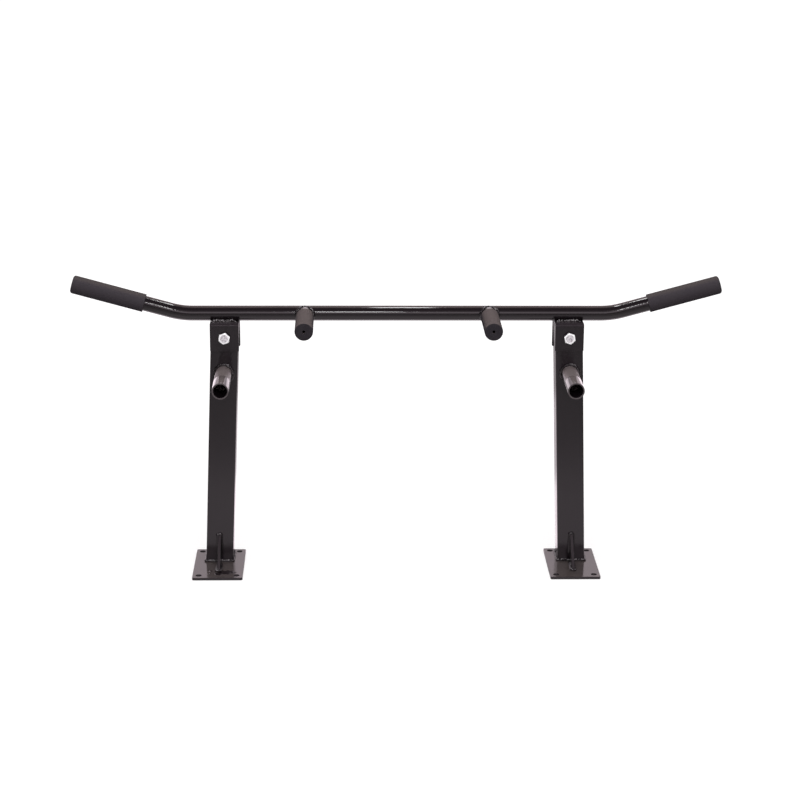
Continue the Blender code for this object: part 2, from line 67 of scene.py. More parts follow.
Steps: TypeAlias = tuple[tuple[float, float, float], ...]
Value: TypeAlias = "Signal | float"
Shape: TypeAlias = bmesh.types.BMesh
Edge: TypeAlias = bmesh.types.BMEdge
Vert: TypeAlias = bmesh.types.BMVert


class Side(Enum):
    """Half of the object, with its sign along X."""

    LEFT = -1
    RIGHT = 1

    @property
    def word(self) -> str:
        """Name of the side in the frame's nodes."""
        return self.name.lower()

    @property
    def body(self) -> str:
        """Body of this side's arm."""
        return f"{self.word}_arm"


class Facing(Enum):
    """Way that a turned shape's top points, as its turn about X."""

    USER = math.pi / 2
    BACK = -math.pi / 2

    @property
    def matrix(self) -> Matrix:
        """Rotation about X."""
        return Matrix.Rotation(self.value, 4, "X")


def operator(operation: str, swapped: bool = False) -> Callable[..., "Signal"]:
    """Method for one of Python's operators, which adds one Math node.

    Args:
        operation: Blender's name of the operation.
        swapped: Whether the signal is the second operand.

    Returns:
        The method.
    """
    def apply(self: "Signal", other: Value) -> "Signal":
        """Both operands, in their order."""
        return self.calc(operation, other, self) if swapped else self.calc(operation, self, other)

    return apply


class Signal:
    """Output socket of a node, on which Python's arithmetic adds Math nodes."""

    def __init__(self, graph: "Graph", socket: bpy.types.NodeSocket) -> None:
        """Remember the socket and the graph that it belongs to."""
        self.graph = graph
        self.socket = socket

    def calc(self, operation: str, first: Value, second: Value = 0.0) -> "Signal":
        """Result of one Math node, by Blender's name of its operation."""
        return self.graph.node("ShaderNodeMath", {"operation": operation}, {0: first, 1: second})

    __add__ = operator("ADD")
    __radd__ = operator("ADD", swapped=True)
    __sub__ = operator("SUBTRACT")
    __rsub__ = operator("SUBTRACT", swapped=True)
    __mul__ = operator("MULTIPLY")
    __rmul__ = operator("MULTIPLY", swapped=True)
    __truediv__ = operator("DIVIDE")
    __pow__ = operator("POWER")
    larger = operator("MAXIMUM")

    def __neg__(self) -> "Signal":
        """Negative."""
        return self * -1.0

    def __abs__(self) -> "Signal":
        """Absolute value."""
        return self.calc("ABSOLUTE", self)


class Graph:
    """Node tree under construction."""

    def __init__(self, tree: bpy.types.NodeTree) -> None:
        """Start on an existing tree."""
        self.tree = tree

    def node(self, kind: str, settings: dict | None = None, inputs: dict | None = None,
             output: int | str = 0) -> Signal:
        """Add any node.

        Args:
            kind: Blender's type of the node.
            settings: Attributes, set first; "stops" is a ramp's list of (place, level).
            inputs: Values or signals by the socket's name or number.
            output: Name or number of the socket to return.

        Returns:
            The chosen output.
        """
        made = self.tree.nodes.new(kind)
        for name, value in (settings or {}).items():
            if name == "stops":
                self.fill_ramp(made.color_ramp, value)
            else:
                setattr(made, name, value)
        for key, value in (inputs or {}).items():
            self.feed(made.inputs[key], value)
        return Signal(self, made.outputs[output])

    def fill_ramp(self, ramp: bpy.types.ColorRamp, stops: Sequence[tuple[float, float]]) -> None:
        """Give a ramp its grey stops."""
        ends = ((ramp.elements[0], stops[0]), (ramp.elements[1], stops[-1]))
        for element, (place, level) in ends:
            element.position = place
            element.color = (level, level, level, 1.0)
        for place, level in stops[1:-1]:
            ramp.elements.new(place).color = (level, level, level, 1.0)

    def feed(self, socket: bpy.types.NodeSocket, value: "Signal | float | Sequence[float]") -> None:
        """Link a signal to a socket, or set a plain value on it."""
        if isinstance(value, Signal):
            self.tree.links.new(value.socket, socket)
        else:
            socket.default_value = value

    def coordinate(self, kind: str) -> Signal:
        """Object, Normal or Generated coordinates."""
        return self.node("ShaderNodeTexCoord", output=kind)

    def parts(self, vector: Signal, names: str = "XYZ") -> list[Signal]:
        """Chosen parts of a vector."""
        return [self.node("ShaderNodeSeparateXYZ", None, {0: vector}, output=name) for name in names]

    def dot(self, first: Signal, second: "Signal | Sequence[float]") -> Signal:
        """Dot product of two vectors."""
        return self.node("ShaderNodeVectorMath", {"operation": "DOT_PRODUCT"}, {0: first, 1: second},
                         output="Value")

    def grain(self, place: Signal, scale: float, detail: float = 2.0, roughness: float = 0.5) -> Signal:
        """Noise around 0.5 at a place, with scale in cells to the metre."""
        return self.node("ShaderNodeTexNoise", None,
                         {"Vector": place, "Scale": scale, "Detail": detail, "Roughness": roughness})

    def step(self, value: Signal, low: float, high: float) -> Signal:
        """Smooth rise from 0 at low to 1 at high."""
        return self.node("ShaderNodeMapRange", {"interpolation_type": "SMOOTHSTEP"},
                         {0: value, 1: low, 2: high})

    def blend(self, share: Signal, first: Signal | Colour, second: Colour) -> Signal:
        """Mix of a colour or a coloured signal with a colour, by a share."""
        under = first if isinstance(first, Signal) else (*first, 1.0)
        return self.node("ShaderNodeMix", {"data_type": "RGBA"}, {0: share, 6: under, 7: (*second, 1.0)},
                         output=2)

    def edges(self, radius: float) -> Signal:
        """Share of an outer edge nearby, from how far a rounded normal leaves the true one."""
        rounded = self.node("ShaderNodeBevel", {"samples": 4}, {"Radius": radius})
        true = self.node("ShaderNodeNewGeometry", output="Normal")
        return self.step(1.0 - self.dot(rounded, true), 0.01, 0.10)

    def bump(self, height: Signal, depth: float) -> Signal:
        """Normal from a height that is counted in units of a depth in metres."""
        return self.node("ShaderNodeBump", None, {"Distance": depth, "Height": height})


@dataclass(frozen=True)
class Finish:
    """What every finish has: a slot of the record and plain shader values."""

    name: str
    slot: str
    colour: Colour
    roughness: float

    def material(self) -> bpy.types.Material:
        """The finish's material, made once."""
        if self.name in bpy.data.materials:
            return bpy.data.materials[self.name]
        material = bpy.data.materials.new(self.name)
        material.use_nodes = True
        material.diffuse_color = (*self.colour, 1.0)
        graph = Graph(material.node_tree)
        self.dress(graph, material.node_tree.nodes["Principled BSDF"].inputs, graph.coordinate("Object"))
        return material

    def dress(self, graph: Graph, shader: bpy.types.NodeInputs, place: Signal) -> None:
        """Feed the shader; each kind of finish has its own way."""
        raise NotImplementedError

    def settled(self, graph: Graph, low: float, high: float) -> Signal:
        """Share of dust and painted top light on faces that look up, from the normal's height."""
        height, = graph.parts(graph.coordinate("Normal"), "Z")
        return graph.step(height, low, high)


@dataclass(frozen=True)
class Paint(Finish):
    """Baked paint: near-black, with orange peel, dull patches, rubbed edges, dust and painted top light.

    Dust and painted top light lie on faces that look up, above a height where one is given. The
    face before `worn_face` along Y is worn. Behind a given root place along Y, dull dust and painted
    light lie on the flanks too. Where there is a `wobble`, the surface past `bent_from` along X is a
    little uneven and duller, and leans to -X by the slopes `lean`, left and right. Painted glints,
    flecks of a lighter colour, lie where a bead looks up and to the user. `scuff` is a scratched
    oval, as the X and Y of its middle and its half length and width.
    """

    peel_depth: float = 0.00005
    peel_scale: float = 380.0
    patch: float = 0.06
    dust: Colour = (0.062, 0.050, 0.049)
    worn: Colour = (0.022, 0.018, 0.019)
    rub_radius: float = 0.0009
    dust_from: float = 0.80
    dust_full: float = 0.93
    dust_above: float = -1.0
    worn_face: float = 0.0
    dusty_root: float = 0.0
    crest: Colour = (0.0, 0.0, 0.0)
    crest_way: tuple[float, float, float] = (0.0, -0.45, 0.89)
    scuff: tuple[float, float, float, float] = (0.0, 0.0, 0.0, 0.0)
    scuff_colour: Colour = (0.012, 0.008, 0.009)
    scuff_depth: float = 0.0020
    wobble: float = 0.0
    bent_from: float = 0.360
    bent_dull: float = 0.025
    lean: tuple[float, float] = (0.025, 0.018)

    def dress(self, graph: Graph, shader: bpy.types.NodeInputs, place: Signal) -> None:
        """Black paint over steel."""
        x, y, z = graph.parts(place)
        patches = graph.grain(place, 14.0, detail=4.0, roughness=0.6)
        specks = graph.step(graph.grain(place, 900.0, detail=1.0), 0.70, 0.80)
        # Dust and painted top light, in patches, on faces that look up.
        cover = 0.80 + 0.35 * graph.step(patches, 0.35, 0.65)
        on_top = self.settled(graph, self.dust_from, self.dust_full) * cover
        if self.dust_above > 0:
            on_top = on_top * graph.step(z, self.dust_above, self.dust_above + 0.004)
        root: Value = 0.0
        # Near the socket's root, flanks that look partly up take dull dust and painted light too.
        if self.dusty_root < 0:
            ragged = y + 0.012 * (graph.grain(place, 160.0) - 0.5)
            behind = graph.step(ragged, self.dusty_root - 0.008, self.dusty_root)
            root = self.settled(graph, 0.05, 0.55) * behind
            on_top = on_top.larger(root)
        handled = graph.step(graph.grain(place, 120.0, detail=3.0), 0.36, 0.60)
        lightened = graph.edges(self.rub_radius) * handled
        if self.worn_face < 0:
            lightened = lightened.larger(1.0 - graph.step(y, self.worn_face, self.worn_face + 0.0006))
        covered = graph.blend(lightened, self.colour, self.worn)
        covered = graph.blend(on_top + specks * 0.25, covered, self.dust)
        # Painted glints: lighter flecks where a bead looks up and to the user.
        if max(self.crest) > 0:
            facing = graph.step(graph.dot(graph.coordinate("Normal"), self.crest_way), 0.80, 0.96)
            painted_glints = graph.step(graph.grain(place, 430.0, detail=1.0), 0.47, 0.60)
            covered = graph.blend(painted_glints * facing, covered, self.crest)
        dull = graph.step(patches, 0.40, 0.70) * self.patch + root * 0.45
        dull = dull + specks * 0.04 + lightened * 0.12
        peel = graph.grain(place, self.peel_scale, detail=1.0) * 0.8
        height = peel + graph.grain(place, 4 * self.peel_scale, detail=1.0) * 0.2
        if self.wobble > 0:
            bent = graph.step(abs(x), self.bent_from, self.bent_from + 0.02)
            dull = dull + bent * self.bent_dull
            past_left, past_right = ((way - self.bent_from).larger(0.0) for way in (-x, x))
            height = height + (past_right * self.lean[1] - past_left * self.lean[0]) / self.peel_depth
            height = height + bent * graph.grain(place, 170.0, detail=1.0) * (self.wobble / self.peel_depth)
        if self.scuff[2] > 0:
            scuffed = self.scuffed(graph, place, x, y)
            covered = graph.blend(scuffed, covered, self.scuff_colour)
            height = height + scuffed * graph.grain(place, 210.0) * (self.scuff_depth / self.peel_depth)
        graph.feed(shader["Base Color"], covered)
        graph.feed(shader["Roughness"], dull + self.roughness)
        graph.feed(shader["Normal"], graph.bump(height, self.peel_depth))

    def scuffed(self, graph: Graph, place: Signal, x: Signal, y: Signal) -> Signal:
        """How scratched a place is, 0 to 1.

        Args:
            graph: Graph that gets the nodes.
            place: Place in the frame.
            x: Its part along X.
            y: Its part along Y.

        Returns:
            Ragged oval with bare patches in it.
        """
        middle_x, middle_y, half_length, half_width = self.scuff
        along, out = (x - middle_x) / half_length, (y - middle_y) / half_width
        away = (along * along + out * out) ** 0.5
        ragged = away + 2.4 * (graph.grain(place, 75.0, detail=3.0) - 0.5)
        return 1.0 - graph.step(ragged, 0.60, 0.85)


@dataclass(frozen=True)
class Plating(Finish):
    """Bright zinc: metal with a fine crystal, faint stains and a painted highlight along its edges.

    A bolt's head has a painted highlight outside a dull middle of radius `dull_face` about its
    `axis`, as |X| and Z, and painted shade on its flanks.
    """

    stain: Colour = (0.50, 0.47, 0.49)
    bright: Colour = (0.99, 0.97, 0.99)
    grain_depth: float = 0.00003
    metal: float = 0.45
    rub_radius: float = 0.0016
    axis: tuple[float, float] = (0.0, 0.0)
    dull_face: float = 0.0
    dull_edge: float = 0.0005
    grime: Colour = (0.030, 0.026, 0.029)

    def dress(self, graph: Graph, shader: bpy.types.NodeInputs, place: Signal) -> None:
        """Zinc plating over steel, with a painted highlight along edges and round a head's dull middle."""
        stains = graph.step(graph.grain(place, 420.0, detail=3.0), 0.44, 0.62)
        crystal = graph.grain(place, 2400.0)
        # Painted highlight along rounded edges.
        lightened = graph.edges(self.rub_radius)
        shaded_flank: Value = 0.0
        if self.dull_face > 0:
            x, z = graph.parts(place, "XZ")
            across, along = abs(x) - self.axis[0], z - self.axis[1]
            away = (across * across + along * along) ** 0.5
            # Painted highlight outside the head's dull middle.
            lightened = lightened.larger(graph.step(away, self.dull_face - self.dull_edge,
                                              self.dull_face + self.dull_edge))
            # Painted shade on the head's flanks, which look sideways.
            outward, = graph.parts(graph.coordinate("Normal"), "Y")
            shaded_flank = 1.0 - graph.step(abs(outward), 0.35, 0.75)
        coated = graph.blend(lightened, graph.blend(stains, self.colour, self.stain), self.bright)
        if self.dull_face > 0:
            coated = graph.blend(shaded_flank, coated, self.grime)
        graph.feed(shader["Base Color"], coated)
        graph.feed(shader["Metallic"], self.metal * (1.0 - lightened) * (1.0 - shaded_flank))
        rough = crystal * 0.14 + stains * 0.12 - lightened * 0.10 + shaded_flank * 0.25
        graph.feed(shader["Roughness"], rough + self.roughness)
        graph.feed(shader["Normal"], graph.bump(crystal, self.grain_depth))


@dataclass(frozen=True)
class Foam(Finish):
    """Closed-cell foam: matt, finely pored, with a soft bloom, and dust and painted top light on top."""

    bloom: Colour = (0.042, 0.037, 0.041)
    dust: Colour = (0.102, 0.082, 0.081)
    pore_depth: float = 0.00012
    shine: float = 0.08
    dust_from: float = 0.10
    dust_full: float = 0.75

    def dress(self, graph: Graph, shader: bpy.types.NodeInputs, place: Signal) -> None:
        """Foam rubber with pores under its skin."""
        pores = graph.step(graph.node("ShaderNodeTexVoronoi", None, {"Vector": place, "Scale": 1300.0}),
                           0.10, 0.55)
        clouds = graph.grain(place, 45.0, detail=5.0, roughness=0.65)
        share = graph.step(clouds, 0.35, 0.75) * 0.45 * pores
        skin = graph.blend(share, self.colour, self.bloom)
        # Dust and painted top light on faces that look up.
        dust = self.settled(graph, self.dust_from, self.dust_full) * (0.75 + 0.30 * clouds)
        graph.feed(shader["Base Color"], graph.blend(dust, skin, self.dust))
        graph.feed(shader["Roughness"], self.roughness - pores * 0.06)
        graph.feed(shader["Specular IOR Level"], self.shine)
        height = pores * 0.6 + graph.grain(place, 700.0, detail=3.0) * 0.4
        graph.feed(shader["Normal"], graph.bump(height, self.pore_depth))


GLOSS = Paint("gloss_paint", "black_gloss_paint", (0.0075, 0.0050, 0.0065), 0.11)
# On the handle pipe, faces that look up get a pale painted highlight through this colour, with dust.
PIPE_GLOSS = replace(GLOSS, name="gloss_paint_handle", dust=(0.200, 0.178, 0.182))
BENT_GLOSS = replace(GLOSS, name="gloss_paint_bar", roughness=0.065, patch=0.03, peel_depth=0.000008,
                     wobble=0.00009)
# The socket's top and the flanks by its root get dust and painted top light.
RIM_GLOSS = replace(GLOSS, name="gloss_paint_socket", dust=(0.108, 0.088, 0.088), rub_radius=0.0020,
                    worn=(0.068, 0.056, 0.060), dust_above=0.372, worn_face=-0.0958, dusty_root=-0.042)
# The rib's sloped face gets dust and painted top light.
RIB_GLOSS = replace(GLOSS, name="gloss_paint_rib", roughness=0.14, dust=(0.036, 0.029, 0.033),
                    dust_from=0.50, dust_full=0.70)
SCUFFED_GLOSS = replace(GLOSS, name="gloss_paint_scuffed", scuff=(-0.320, -0.037, 0.026, 0.014))
SATIN = Paint("satin_paint", "black_satin_paint", (0.0095, 0.0065, 0.0085), 0.14, peel_depth=0.00003,
              dust=(0.030, 0.024, 0.028))
# Weld beads carry painted glints in their crest colour.
WELD = Paint("weld_paint", "painted_weld", (0.0070, 0.0050, 0.0060), 0.10, peel_depth=0.0006,
             peel_scale=420.0, dust=(0.018, 0.015, 0.017), crest=(0.230, 0.212, 0.222))
# Zinc gets a painted highlight along its edges.
ZINC = Plating("zinc", "zinc_plating", (0.86, 0.83, 0.87), 0.28)
# Foam tops get dust and painted top light, the handles' more than the bar's.
FOAM = Foam("foam", "black_foam", (0.026, 0.0225, 0.027), 0.92)
BAR_FOAM = Foam("foam_bar", "black_foam", (0.040, 0.034, 0.040), 0.92, bloom=(0.046, 0.040, 0.045),
                dust=(0.062, 0.052, 0.052), dust_from=0.55, dust_full=0.97)


def new_mesh(name: str, shape: Shape) -> bpy.types.Mesh:
    """Mesh of a shape, which is freed."""
    mesh = bpy.data.meshes.new(name)
    shape.to_mesh(mesh)
    shape.free()
    return mesh


def new_object(name: str, data: bpy.types.ID) -> bpy.types.Object:
    """Object in the scene."""
    made = bpy.data.objects.new(name, data)
    bpy.context.scene.collection.objects.link(made)
    return made


def finish_piece(name: str, shape: Shape, finish: Finish, node: str, body: str = BAR_BODY,
                 sharp: float = 38.0) -> bpy.types.Object:
    """Turn a shape into a dressed piece that rides on its body.

    Args:
        name: Piece's name.
        shape: Mesh in the frame's place; it is freed.
        finish: Finish of the whole piece.
        node: Node of the frame that it stands for.
        body: Body that it rides on.
        sharp: Angle in degrees past which an edge stays sharp.

    Returns:
        The piece.
    """
    mesh = new_mesh(name, shape)
    mesh.materials.append(finish.material())
    mesh.shade_smooth()
    mesh.set_sharp_from_angle(angle=math.radians(sharp))
    piece = new_object(name, mesh)
    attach(piece, body)
    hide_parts(node)
    LOG.info("%s: %d faces, %s, on %s", name, len(mesh.polygons), finish.slot, body)
    return piece


def soften(piece: bpy.types.Object, width: float, segments: int = 2) -> None:
    """Break a piece's sharp edges with a small live bevel."""
    bevel = piece.modifiers.new("Broken edges", "BEVEL")
    bevel.width = width
    bevel.segments = segments
    bevel.limit_method = "ANGLE"
    bevel.angle_limit = math.radians(40)
    bevel.harden_normals = True


def only(kind: type, items: Iterable) -> list:
    """Items of one kind out of an operator's result."""
    return [item for item in items if isinstance(item, kind)]


def whole(shape: Shape) -> list:
    """Everything that a shape is made of."""
    return shape.verts[:] + shape.edges[:] + shape.faces[:]


def move(shape: Shape, matrix: Matrix) -> Shape:
    """Transform a whole shape and hand it back."""
    bmesh.ops.transform(shape, matrix=matrix, verts=shape.verts)
    return shape


def close(shape: Shape) -> Shape:
    """Merge a shape's doubles, point its faces outwards and hand it back."""
    bmesh.ops.remove_doubles(shape, verts=shape.verts, dist=0.000002)
    bmesh.ops.recalc_face_normals(shape, faces=shape.faces)
    return shape


def round_corner(shape: Shape, corner: Vert, radius: float, segments: int) -> None:
    """Round one corner of a flat outline to a true arc."""
    ways = [(edge.other_vert(corner).co - corner.co).normalized() for edge in corner.link_edges]
    half = ways[0].angle(ways[1]) / 2
    bmesh.ops.bevel(shape, geom=[corner], offset=radius / math.tan(half) * math.sin(half), segments=segments,
                    offset_type="OFFSET", profile=0.5, affect="VERTICES", material=-1)


def outline(corners: Sequence[Corner], segments: int = 6) -> Shape:
    """Flat face in the XY plane.

    Args:
        corners: (x, y, rounding radius) of each corner, in order.
        segments: Steps of each rounding.

    Returns:
        Shape with one face.
    """
    shape = bmesh.new()
    made = [shape.verts.new((x, y, 0)) for x, y, _ in corners]
    shape.faces.new(made)
    for corner, (_, _, radius) in zip(made, corners):
        if radius > 0:
            round_corner(shape, corner, radius, segments)
    return shape


def outline_points(corners: Sequence[Corner]) -> list[Vector]:
    """Points of a finely rounded outline, in order."""
    shape = outline(corners, 8)
    shape.faces.ensure_lookup_table()
    points = [vert.co.copy() for vert in shape.faces[0].verts]
    shape.free()
    return points


def box_corners(width: float, depth: float, radius: float) -> list[Corner]:
    """Corners of a rounded rectangle about the origin, from its sizes along X and Y."""
    x, y = width / 2, depth / 2
    return [(-x, -y, radius), (x, -y, radius), (x, y, radius), (-x, y, radius)]


def raised(shape: Shape, height: float) -> Shape:
    """Extrude a shape's faces upwards, keep them as its underside and hand it back."""
    made = bmesh.ops.extrude_face_region(shape, geom=shape.faces[:], use_keep_orig=True)["geom"]
    bmesh.ops.translate(shape, verts=only(Vert, made), vec=(0, 0, height))
    return shape


def slab(corners: Sequence[Corner], low: float, high: float) -> Shape:
    """Closed flat plate with rounded corners, between two heights."""
    return close(raised(move(outline(corners), Matrix.Translation((0, 0, low))), high - low))


def turned(profile: Sequence[Corner], steps: int = RING_STEPS, rounding: int = 5) -> Shape:
    """Ring or disc turned about Z.

    Args:
        profile: (radius, height, rounding) of each corner of the closed outline.
        steps: Facets round the axis.
        rounding: Steps of each rounded corner.

    Returns:
        Closed shape.
    """
    shape = outline(profile, rounding)
    bmesh.ops.delete(shape, geom=shape.faces[:], context="FACES_ONLY")
    move(shape, Matrix.Rotation(math.pi / 2, 4, "X"))
    bmesh.ops.spin(shape, geom=whole(shape), cent=(0, 0, 0), axis=(0, 0, 1), dvec=(0, 0, 0),
                   angle=math.tau, steps=steps, use_merge=True, use_duplicate=False)
    return close(shape)


def rod(radius: float, low: float, high: float, steps: int = 64) -> Shape:
    """Plain closed cylinder about Z."""
    shape = bmesh.new()
    bmesh.ops.create_cone(shape, cap_ends=True, segments=steps, radius1=radius, radius2=radius,
                          depth=high - low)
    return move(shape, Matrix.Translation((0, 0, (low + high) / 2)))


def hexagon(across: float, low: float, high: float, face: float, both: bool) -> Shape:
    """Hexagonal block, a turned and chamfered disc trimmed by six planes.

    Args:
        across: Width across the flats.
        low: Height of its seat.
        high: Height of its top.
        face: Diameter of the round face that the chamfer leaves.
        both: Whether the seat side is chamfered too.

    Returns:
        Closed shape with a corner towards +Y.
    """
    corner = across / math.sqrt(3)
    fall = (corner - face / 2) * math.tan(math.radians(30))
    seat = [(face / 2, low, 0.0), (corner, low + fall, 0.0)] if both else [(corner, low, 0.0)]
    shape = turned([(0.0, low, 0.0), *seat, (corner, high - fall, 0.0), (face / 2, high, 0.0),
                    (0.0, high, 0.0)], steps=120)
    for turn in range(6):
        angle = math.radians(60 * turn)
        away = Vector((math.cos(angle), math.sin(angle), 0))
        cut = bmesh.ops.bisect_plane(shape, geom=whole(shape), plane_co=away * across / 2, plane_no=away,
                                     clear_outer=True)
        bmesh.ops.edgenet_fill(shape, edges=only(Edge, cut["geom_cut"]))
    return close(shape)


def helix(radius: float, pitch: float, depth: float, low: float, turns: int) -> Shape:
    """Screw thread's ridge about Z.

    Args:
        radius: Crest radius.
        pitch: Rise of one turn.
        depth: Height of the ridge.
        low: Height of its start.
        turns: Number of turns.

    Returns:
        Closed shape.
    """
    steps = 36
    crest, foot = 0.07 * pitch, 0.46 * pitch
    shape = bmesh.new()
    ends = [(radius - depth, -foot), (radius, -crest), (radius, crest), (radius - depth, foot)]
    start = shape.faces.new([shape.verts.new((out, 0, low + rise)) for out, rise in ends])
    bmesh.ops.spin(shape, geom=[start], cent=(0, 0, 0), axis=(0, 0, 1), dvec=(0, 0, pitch / steps),
                   angle=math.tau * turns, steps=steps * turns, use_merge=False, use_duplicate=False)
    bmesh.ops.recalc_face_normals(shape, faces=shape.faces)
    return shape


def joined(shapes: Sequence[Shape]) -> Shape:
    """One shape that holds several closed ones, which are freed."""
    gathered = bmesh.new()
    for shape in shapes:
        mesh = new_mesh("part", shape)
        gathered.from_mesh(mesh)
        bpy.data.meshes.remove(mesh)
    return gathered


def carved(shape: Shape, cutters: Sequence[Shape]) -> Shape:
    """Closed shape with other closed shapes cut out of it; all of them are freed."""
    block, *tools = (new_object("holder", new_mesh("holder", each)) for each in (shape, *cutters))
    for tool in tools:
        cut = block.modifiers.new("cut", "BOOLEAN")
        cut.object = tool
        cut.operation = "DIFFERENCE"
        cut.solver = "EXACT"
    evaluated = block.evaluated_get(bpy.context.evaluated_depsgraph_get())
    result = bmesh.new()
    result.from_mesh(evaluated.to_mesh())
    evaluated.to_mesh_clear()
    for spent in (block, *tools):
        mesh = spent.data
        bpy.data.objects.remove(spent)
        bpy.data.meshes.remove(mesh)
    return result


def new_ring(shape: Shape, ring: Sequence[Edge], matrix: Matrix) -> list[Edge]:
    """Extrude a ring of edges, move the new one and hand back its edges."""
    made = bmesh.ops.extrude_edge_only(shape, edges=ring)["geom"]
    verts = set(only(Vert, made))
    bmesh.ops.transform(shape, matrix=matrix, verts=list(verts))
    return [edge for edge in only(Edge, made) if verts.issuperset(edge.verts)]


def radials() -> list[Vector]:
    """Unit vectors round the Y axis."""
    angles = (math.tau * number / RING_STEPS for number in range(RING_STEPS))
    return [Vector((math.cos(angle), 0, math.sin(angle))) for angle in angles]


def middle(node: str) -> Vector:
    """Centre of a node's box."""
    low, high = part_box(node)
    return (low + high) / 2


@dataclass(frozen=True)
class Station:
    """Point of a bead's path and the way that its crown faces there."""

    place: Vector
    outward: Vector
    scale: float = 1.0


def spaced(stations: Sequence[Station], closed: bool, gap: float) -> list[Station]:
    """Stations at even distances along a path.

    Args:
        stations: The path.
        closed: Whether it runs back to its start.
        gap: Distance between stations, rounded to fit.

    Returns:
        New stations.
    """
    track = list(stations) + ([stations[0]] if closed else [])
    spans = [(after.place - before.place).length for before, after in zip(track, track[1:])]
    total = sum(spans)
    count = max(4, round(total / gap))
    made = []
    for number in range(count if closed else count + 1):
        distance = total * number / count
        index = 0
        while index < len(spans) - 1 and distance > spans[index]:
            distance -= spans[index]
            index += 1
        share = min(1.0, distance / spans[index])
        here, there = track[index], track[index + 1]
        made.append(Station(here.place.lerp(there.place, share),
                            here.outward.lerp(there.outward, share).normalized(),
                            here.scale + (there.scale - here.scale) * share))
    return made


@dataclass(frozen=True)
class Bead:
    """Rippled weld bead laid by hand along a path.

    Each ripple takes `rings` rings over one `pitch`; `lean` tips its rings back along the path,
    `waver` and `waver_scale` make it uneven, and `blunt` is the fullness of an open end.
    """

    radius: float
    pitch: float = 0.0056
    rings: int = 7
    ripple: float = 0.42
    lean: float = 1.1
    waver: float = 0.22
    waver_scale: float = 140.0
    blunt: float = 0.12
    sides: int = 14

    def swell(self, number: int, count: int, closed: bool, place: Vector) -> float:
        """Radius at a ring, over the bead's own.

        Args:
            number: Ring's number.
            count: Number of rings.
            closed: Whether the bead runs round.
            place: Ring's place, which seeds its unevenness.

        Returns:
            The factor.
        """
        phase = (number % self.rings) / self.rings
        scale = 1.0 - self.ripple * phase ** 2
        scale += self.waver * noise.noise(place * self.waver_scale)
        if not closed:
            end = min(number, count - 1 - number) / self.rings
            scale *= math.sqrt(min(1.0, self.blunt + end))
        return scale

    def shape(self, stations: Sequence[Station], closed: bool) -> Shape:
        """Sweep the bead along its path.

        Args:
            stations: The path.
            closed: Whether it runs back to its start.

        Returns:
            Closed shape.
        """
        track = spaced(stations, closed, self.pitch / self.rings)
        count = len(track)
        shape = bmesh.new()
        bmesh.ops.create_circle(shape, cap_ends=not closed, segments=self.sides, radius=1.0)
        ring = first = shape.edges[:]
        last = Matrix.Identity(4)
        for number, station in enumerate(track):
            before = track[number - 1] if closed or number else station
            after = track[(number + 1) % count] if closed or number < count - 1 else station
            along = (after.place - before.place).normalized()
            out = (station.outward - along * station.outward.dot(along)).normalized()
            scale = self.radius * station.scale * self.swell(number, count, closed, station.place)
            columns = (out * scale - along * scale * self.lean, out.cross(along) * scale, along * scale)
            place = Matrix([[*row, spot] for row, spot in zip(zip(*columns), station.place)] + [[0, 0, 0, 1]])
            if number == 0:
                move(shape, place)
            else:
                ring = new_ring(shape, ring, place @ last.inverted())
            last = place
        if closed:
            bmesh.ops.bridge_loops(shape, edges=first + ring)
        else:
            bmesh.ops.contextual_create(shape, geom=ring)
        bmesh.ops.recalc_face_normals(shape, faces=shape.faces)
        return shape


@dataclass
class FoamGrip:
    """Foam sleeve with a rounded, closed and vented end."""

    finish: Finish
    outer: float = 0.0164
    bore: float = 0.0138
    face: float = 0.00315
    seat: float = 0.0003
    vent: float = 0.0027
    vent_edge: float = 0.0002
    edge: float = 0.0030
    lip: float = 0.0008
    bore_edge: float = 0.0004
    waviness: float = 0.00014
    wave_scale: float = 55.0
    row_gap: float = 0.0028

    def shape(self, length: float, to_space: Matrix) -> Shape:
        """Sleeve whose tube ends at its own origin.

        Args:
            length: Whole length.
            to_space: Place of the tube's end, with +Z outwards.

        Returns:
            Closed shape in the frame.
        """
        open_end = self.face - length
        rows = round((length - self.edge - self.lip) / self.row_gap)
        span = (self.face - self.edge) - (open_end + self.lip)
        wall = [(self.outer, open_end + self.lip + span * row / rows, 0.0) for row in range(rows - 1, 0, -1)]
        shape = turned([(self.vent, self.face, self.vent_edge), (self.outer, self.face, self.edge), *wall,
                        (self.outer, open_end, self.lip), (self.bore, open_end, self.bore_edge),
                        (self.bore, self.seat, 0.0), (self.vent, self.seat, 0.0)], rounding=6)
        move(shape, to_space)
        axis = (to_space.to_3x3() @ Vector((0, 0, 1))).normalized()
        for vert in shape.verts:
            reach = vert.co - to_space.translation
            out = reach - axis * reach.dot(axis)
            if out.length > 0.9 * self.outer:
                dent = self.waviness * (0.5 + 0.5 * noise.noise(vert.co * self.wave_scale))
                vert.co -= out.normalized() * dent
        return shape

    def build(self, name: str, length: float, to_space: Matrix, node: str) -> None:
        """Finish the sleeve as a piece.

        Args:
            name: Piece's name.
            length: Whole length.
            to_space: Place of the tube's end, with +Z outwards.
            node: Node that it stands for.
        """
        piece = finish_piece(name, self.shape(length, to_space), self.finish, node)


